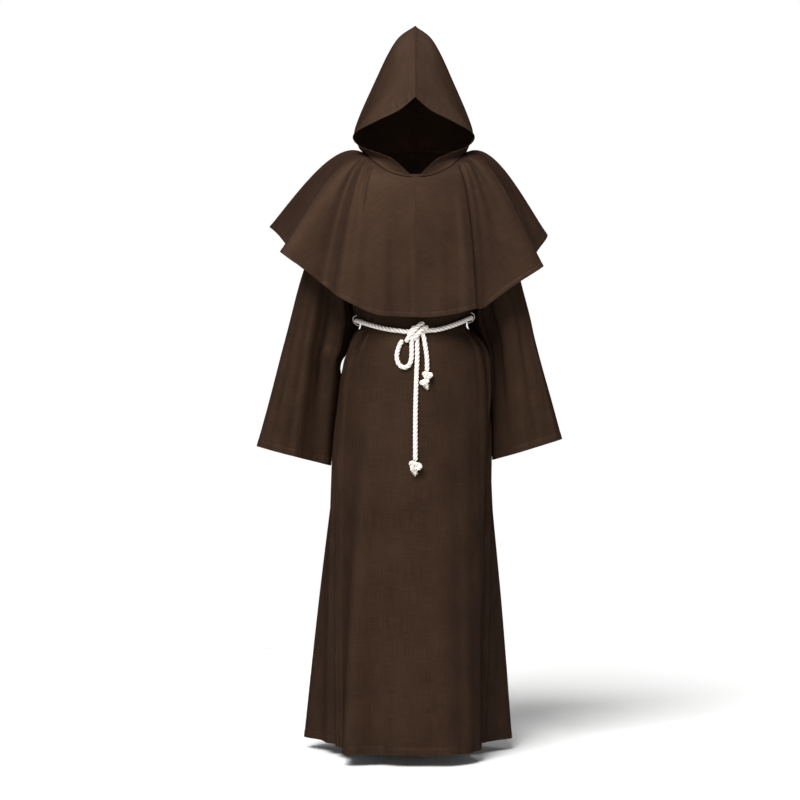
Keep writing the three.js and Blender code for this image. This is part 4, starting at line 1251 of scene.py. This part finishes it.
def placed(item, node):
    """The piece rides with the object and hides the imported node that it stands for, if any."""
    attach(item, "root")
    if node:
        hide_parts(node)
    return item


def build_rope(cotton, yarn):
    """The rope round the waist, its loop and its two ends, which carry their knots."""
    right = math.radians(270 - KNOT_HALF_DEGREES)
    left = math.radians(-90 + KNOT_HALF_DEGREES)
    angles = np.linspace(right, left, WAIST_POINTS)
    waist = beside_robe(angles, belt_height(angles), np.full(WAIST_POINTS, ROPE_RADIUS + ROPE_CLEARANCE))
    knots = build_knots(cotton, yarn)
    long_end = ["knot_long_end", "frayed_long_end"]
    short_end = ["knot_short_end", "knot_short_tail", "frayed_short_end"]
    cords = {
        "rope_round_waist": ("belt_rope", waist, "taut", []),
        "rope_loop": ("belt_loop", route_points(LOOP_ROUTE), "hanging", []),
        "rope_long_end": ("belt_end_long", route_points(LONG_END_ROUTE), "hanging", long_end),
        "rope_short_end": ("belt_end_short", route_points(SHORT_END_ROUTE), "hanging", short_end),
    }
    for name, (node, route, lay, carried) in cords.items():
        item = placed(rope_piece(name, [route], cotton), node)
        path = smooth_path(route, ROPE_STEP)


def node_middle(node):
    low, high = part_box(node)
    return np.array((low + high) / 2)


def build_knots(cotton, yarn):
    """The slip knot, the end knots and the yarns that fray out below them."""
    strands = [route_points(table(ROUTE_COLUMNS, rows)) for rows in KNOT_STRANDS.values()]
    knots = {"slip_knot": placed(rope_piece("slip_knot", strands, cotton), "belt_knot")}
    for name, (node, *shape) in END_KNOTS.items():
        path = trefoil(node_middle(node), *shape)
        tube = tube_parts(path, laid_rope(END_KNOT_RADIUS, END_KNOT_LEAD), ROPE_SIDES, END_KNOT_LEAD)
        knots[name] = placed(joined_tubes(name, [tube], cotton, ROPE_SIDES), node)
    for seed, (name, (node, direction, shift, length)) in enumerate(FRAYED_ENDS.items(), 11):
        paths = loose_yarns(node_middle(node) + np.array(shift), direction, length, seed)
        tubes = [tube_parts(path, thinning_yarn, YARN_SIDES) for path in paths]
        knots[name] = placed(joined_tubes(name, tubes, yarn, YARN_SIDES), None)
    return knots


def build_carriers(thread):
    """The thread loops at the side seams that the belt runs through."""
    for name, (angle, clear) in CARRIERS.items():
        angles = np.full(len(CARRIER_ROUTE["rise"]), angle)
        off = np.maximum(CARRIER_ROUTE["off"], clear) + SEAM_GAP
        route = beside_robe(angles, belt_height(angles) + CARRIER_ROUTE["rise"], off)
        outline = laid_rope(THREAD_RADIUS, THREAD_LEAD)
        plies = tube_parts(smooth_path(route, THREAD_STEP), outline, THREAD_SIDES, THREAD_LEAD)
        item = joined_tubes("thread_carrier_" + name, [plies], thread, THREAD_SIDES)
        placed(item, "belt_carrier_" + name)


def robe_rows(middle):
    """Places down a robe panel: even along the cloth, and closer beside the armhole."""
    even = even_places(robe_point, middle, 0, RING_LAST, ROBE_ROWS, ROBE_HEM_ROWS)
    outside = even[(even < RING_SHOULDER - ARMHOLE_MARGIN) | (even > RING_UNDERARM + ARMHOLE_MARGIN)]
    return np.sort(np.concatenate([outside, armhole_place(np.linspace(0, np.pi, ARMHOLE_ROWS))]))


def inside_of(face, u, v, side):
    """Points just inside the wall of a face."""
    return raised(face, u, v, side, -ALLOWANCE_DEPTH)


def build_robe(cloth, thread):
    """The front and back panels, their hem's stitches, and the seams inside."""
    lines = []
    for seed, (name, (node, degrees, columns, flat, filled)) in enumerate(ROBE_PANELS.items()):
        middle = math.radians(degrees)
        towards = math.copysign(1, math.sin(middle))
        v, u = np.meshgrid(robe_rows(middle), np.linspace(-1, 1, columns), indexing="ij")
        points = robe_face(middle + (math.pi / 2 - armhole_turn(v)) * u, v)
        points[..., 1] += towards * SEAM_GAP / 2
        points = sewn_edge(points, -1, "bottom", HEM_WIDTH, seed)
        lines.append(line_from_edge(points, -1, "bottom", HEM_WIDTH))
        item = placed(cloth_piece(name, points, cloth, -1), node)
    placed(stitches("hem_stitches", lines, thread), None)
    places = np.linspace(RING_UNDERARM + 0.02, RING_LAST - 0.02, SEAM_ROWS)
    for name, angle in (("side_seam_left", 0.0), ("side_seam_right", math.pi)):
        strip = []
        for turn in (-SEAM_HALF_TURN, 0.0, SEAM_HALF_TURN):
            strip.append(inside_of(robe_face, np.full(SEAM_ROWS, angle + turn), places, -1))
        seam_allowance(name, *strip, cloth, "robe_cloth")
    turns = np.linspace(0, 2 * np.pi, SEAM_ROWS + 1)
    below = inside_of(robe_point, turns, np.full(len(turns), NECK_SEAM_LOW), -1)
    edge = inside_of(robe_point, turns, np.full(len(turns), NECK_SEAM_HIGH), -1)
    seam_allowance("neck_seam", below, edge, edge + (0, 0, NECK_SEAM_RISE), cloth, "robe_cloth")


def armhole_point(side, turn):
    seam_angle = 0 if side > 0 else math.pi
    point = robe_point(seam_angle - side * ARMHOLE_HALF_TURN * np.sin(turn), armhole_place(turn))
    point[..., 0] += side * SEAM_GAP * (ARMHOLE_TOP_GAPS + ARMHOLE_MORE_GAPS * (1 - np.cos(turn)))
    return point


def sleeve_point(sections, folds, side, turn, place):
    """Outer face of a sleeve's main form. Places under 0 lead up to the armhole."""
    held = np.maximum(place, 0)
    column = {name: along(values, held) for name, values in sections.items()}
    across = np.cos(turn)
    x = (column["out_x"] + column["in_x"]) / 2 + (column["out_x"] - column["in_x"]) / 2 * across
    z = (column["out_z"] + column["in_z"]) / 2 + (column["out_z"] - column["in_z"]) / 2 * across
    y = (column["front"] + column["back"]) / 2 + (column["front"] - column["back"]) / 2 * np.sin(turn)
    y = y + column["in_y"] * (1 - across) / 2
    share = held / (len(sections["front"]) - 1)
    for at, drift, out, spread in zip(*folds.values()):
        distance = angle_between(np.degrees(turn) + 720, at + drift * share) / spread
        y = y - np.sin(turn) * out * bump(distance) * np.minimum(1, share * SLEEVE_FOLDS_FULL)
    section = stack_points(side * x, y, z)
    lead = np.clip(1 + place, 0, 1)[..., None]
    return armhole_point(side, turn) * (1 - lead) + section * lead


def build_sleeves(cloth, thread):
    """The sleeves, each a closed tube, and the stitches of their cuffs."""
    lines = []
    sleeves = {
        "sleeve_left_cloth": ("sleeve_left", LEFT_SLEEVE, LEFT_SLEEVE_FOLDS, LEFT_SLEEVE_CREASES, 1),
        "sleeve_right_cloth": ("sleeve_right", RIGHT_SLEEVE, RIGHT_SLEEVE_FOLDS, RIGHT_SLEEVE_CREASES, -1),
    }
    for seed, (name, (node, sections, folds, creases, side)) in enumerate(sleeves.items(), 5):
        form = partial(sleeve_point, sections, folds, side)
        rows = even_places(form, math.pi / 2, -1, len(sections["front"]) - 1, SLEEVE_ROWS, CUFF_HEM_ROWS)
        v, u = np.meshgrid(rows, np.linspace(0, 2 * np.pi, SLEEVE_ROUND), indexing="ij")
        points = raised(form, u, v, side, crease_sum(creases, np.degrees(u), v))
        points = sewn_edge(points, side, "bottom", CUFF_HEM_WIDTH, seed)
        lines.append(line_from_edge(points, side, "bottom", CUFF_HEM_WIDTH))
        item = placed(cloth_piece(name, points, cloth, side, closed=True), node)
    placed(stitches("cuff_stitches", lines, thread), None)


def cape_point(angle, share):
    """Outer face of the cape's main form, from the neck at 0 to the hem at 1."""
    degrees = np.degrees(angle)
    neck = neck_point(angle)
    outwards = stack_points(np.cos(angle), np.sin(angle), np.zeros(np.shape(angle)))
    upwards = np.array((0.0, 0.0, 1.0))

    def scaled(name):
        return around(CAPE_SPOKES["at"], CAPE_SPOKES[name], degrees)[..., None]

    hem = outwards * scaled("reach") + upwards * scaled("hem_z")
    leaving = neck + outwards * scaled("shoulder") + upwards * scaled("lift")
    landing = hem * (2 / 3) + neck / 3 + outwards * scaled("belly") + upwards * scaled("fill")
    t = np.asarray(share)[..., None]
    return neck * (1 - t) ** 3 + 3 * leaving * t * (1 - t) ** 2 + 3 * landing * t * t * (1 - t) + hem * t ** 3


def kept_aside(points, side):
    """The points on their own side of the centre seam."""
    points[..., 0] = side * np.maximum(side * points[..., 0], SEAM_GAP / 2)
    return points


def build_cape(cloth, thread):
    """The cape's two halves and the stitches of their hem."""
    lines = []
    for side, name, node in ((1, "cape_left_cloth", "cape_left"), (-1, "cape_right_cloth", "cape_right")):
        middle = 0 if side > 0 else math.pi
        rows = even_places(cape_point, middle, CAPE_TOP, CAPE_FOOT, CAPE_ROWS, CAPE_HEM_ROWS)
        turns = np.linspace(middle - math.pi / 2, middle + math.pi / 2, CAPE_ROUND)
        v, u = np.meshgrid(rows, turns, indexing="ij")
        points = raised(cape_point, u, v, -1, crease_sum(CAPE_CREASES, np.degrees(u), v))
        points[..., 0] += side * SEAM_GAP / 2
        points = sewn_edge(points, -1, "bottom", CAPE_HEM_WIDTH, 20 + side)
        points = kept_aside(points, side)
        lines.append(line_from_edge(points, -1, "bottom", CAPE_HEM_WIDTH))
        item = placed(cloth_piece(name, points, cloth, -1), node)
    placed(stitches("cape_hem_stitches", lines, thread), None)


def hood_point(side, across, down):
    """Outer face of the hood: across runs from the rim to the back seam, down from the crown."""
    width = HOOD_LEFT_SHARE if side > 0 else 1.0
    stations = np.stack([
        np.stack([along(station[:, k], across) for k in range(3)], axis=-1) for station in HOOD_STATIONS
    ])
    stations[..., 0] *= width
    neck_at = np.radians(along(HOOD_NECK_AT, across))
    neck = neck_point(neck_at)
    neck[..., 0] = -neck[..., 0] + np.cos(neck_at) * HOOD_SEAM_INSET
    neck[..., 1] -= np.sin(neck_at) * HOOD_SEAM_INSET
    neck[..., 2] += HOOD_SEAM_RISE
    stations = np.concatenate([stations, neck[None]])
    point = np.stack([along(stations[..., k], down) for k in range(3)], axis=-1)
    point[..., 0] *= side
    return point


def build_hood(cloth, thread):
    """The hood's two halves, its rim and topstitched crown, and the seams inside."""
    lines = []
    columns = np.concatenate([HOOD_RIM_COLUMNS, np.linspace(HOOD_EVEN_COLUMNS, HOOD_BACK, HOOD_ROUND)])
    rows = np.concatenate([HOOD_CROWN_ROWS, np.linspace(HOOD_EVEN_ROWS, HOOD_NECK, HOOD_ROWS)])
    v, u = np.meshgrid(rows, columns, indexing="ij")
    out = crease_sum(HOOD_CREASES, u, v, turning=False)
    for side, name, node in ((1, "hood_left_cloth", "hood_left"), (-1, "hood_right_cloth", "hood_right")):
        points = raised(partial(hood_point, side), u, v, -side, out)
        points[..., 0] += side * SEAM_GAP / 2
        points = sewn_edge(points, -side, "first", RIM_HEM_WIDTH, 30 + side)
        if side > 0:
            points = sewn_edge(points, -side, "top", CROWN_SEAM_WIDTH, 40)
            lines.append(line_from_edge(points, -side, "top", CROWN_SEAM_WIDTH))
        points = kept_aside(points, side)
        lines.append(line_from_edge(points, -side, "first", RIM_HEM_WIDTH))
        item = placed(cloth_piece(name, points, cloth, -side), node)
    placed(stitches("hood_stitches", lines, thread), None)
    build_hood_seams(cloth)


def build_hood_seams(cloth):
    """The seam allowances down the back of the hood and over its crown."""
    for name, (start, end, step) in HOOD_SEAMS.items():
        across, down = np.linspace(start, end, HOOD_SEAM_ROWS).T

        def faced(side, share):
            face = partial(hood_point, side)
            return inside_of(face, across + step[0] * share, down + step[1] * share, -side)

        middle = (faced(1, 0.0) + faced(-1, 0.0)) / 2
        seam_allowance(name, faced(-1, 1.0), middle, faced(1, 1.0), cloth, "hood_cloth")


add_camera()
add_studio()
loose_yarn = spun_fibres("loose_cotton_yarn", "#e6ddd3", "#f8f3ec", 0.9, 0.1)
# The rope's first colour is the painted shade in the hollows between its strands.
build_rope(twisted_cotton("twisted_cotton_rope", "#a89d93", "#e8dfd6", "#faf4ee"), loose_yarn)
build_carriers(spun_fibres("white_carrier_thread", "#e4dcd2", "#f8f2ea", 0.5, 0.4))
brown_thread = spun_fibres("brown_sewing_thread", "#221913", "#372a21", 0.5, 0.4)
robe_cloth = gabardine("robe_gabardine", "#241a14", "#34261d")
build_robe(robe_cloth, brown_thread)
build_sleeves(robe_cloth, brown_thread)
build_cape(gabardine("cape_gabardine", "#251a15", "#35271e"), brown_thread)
build_hood(gabardine("hood_gabardine", "#261b15", "#36281f"), brown_thread)
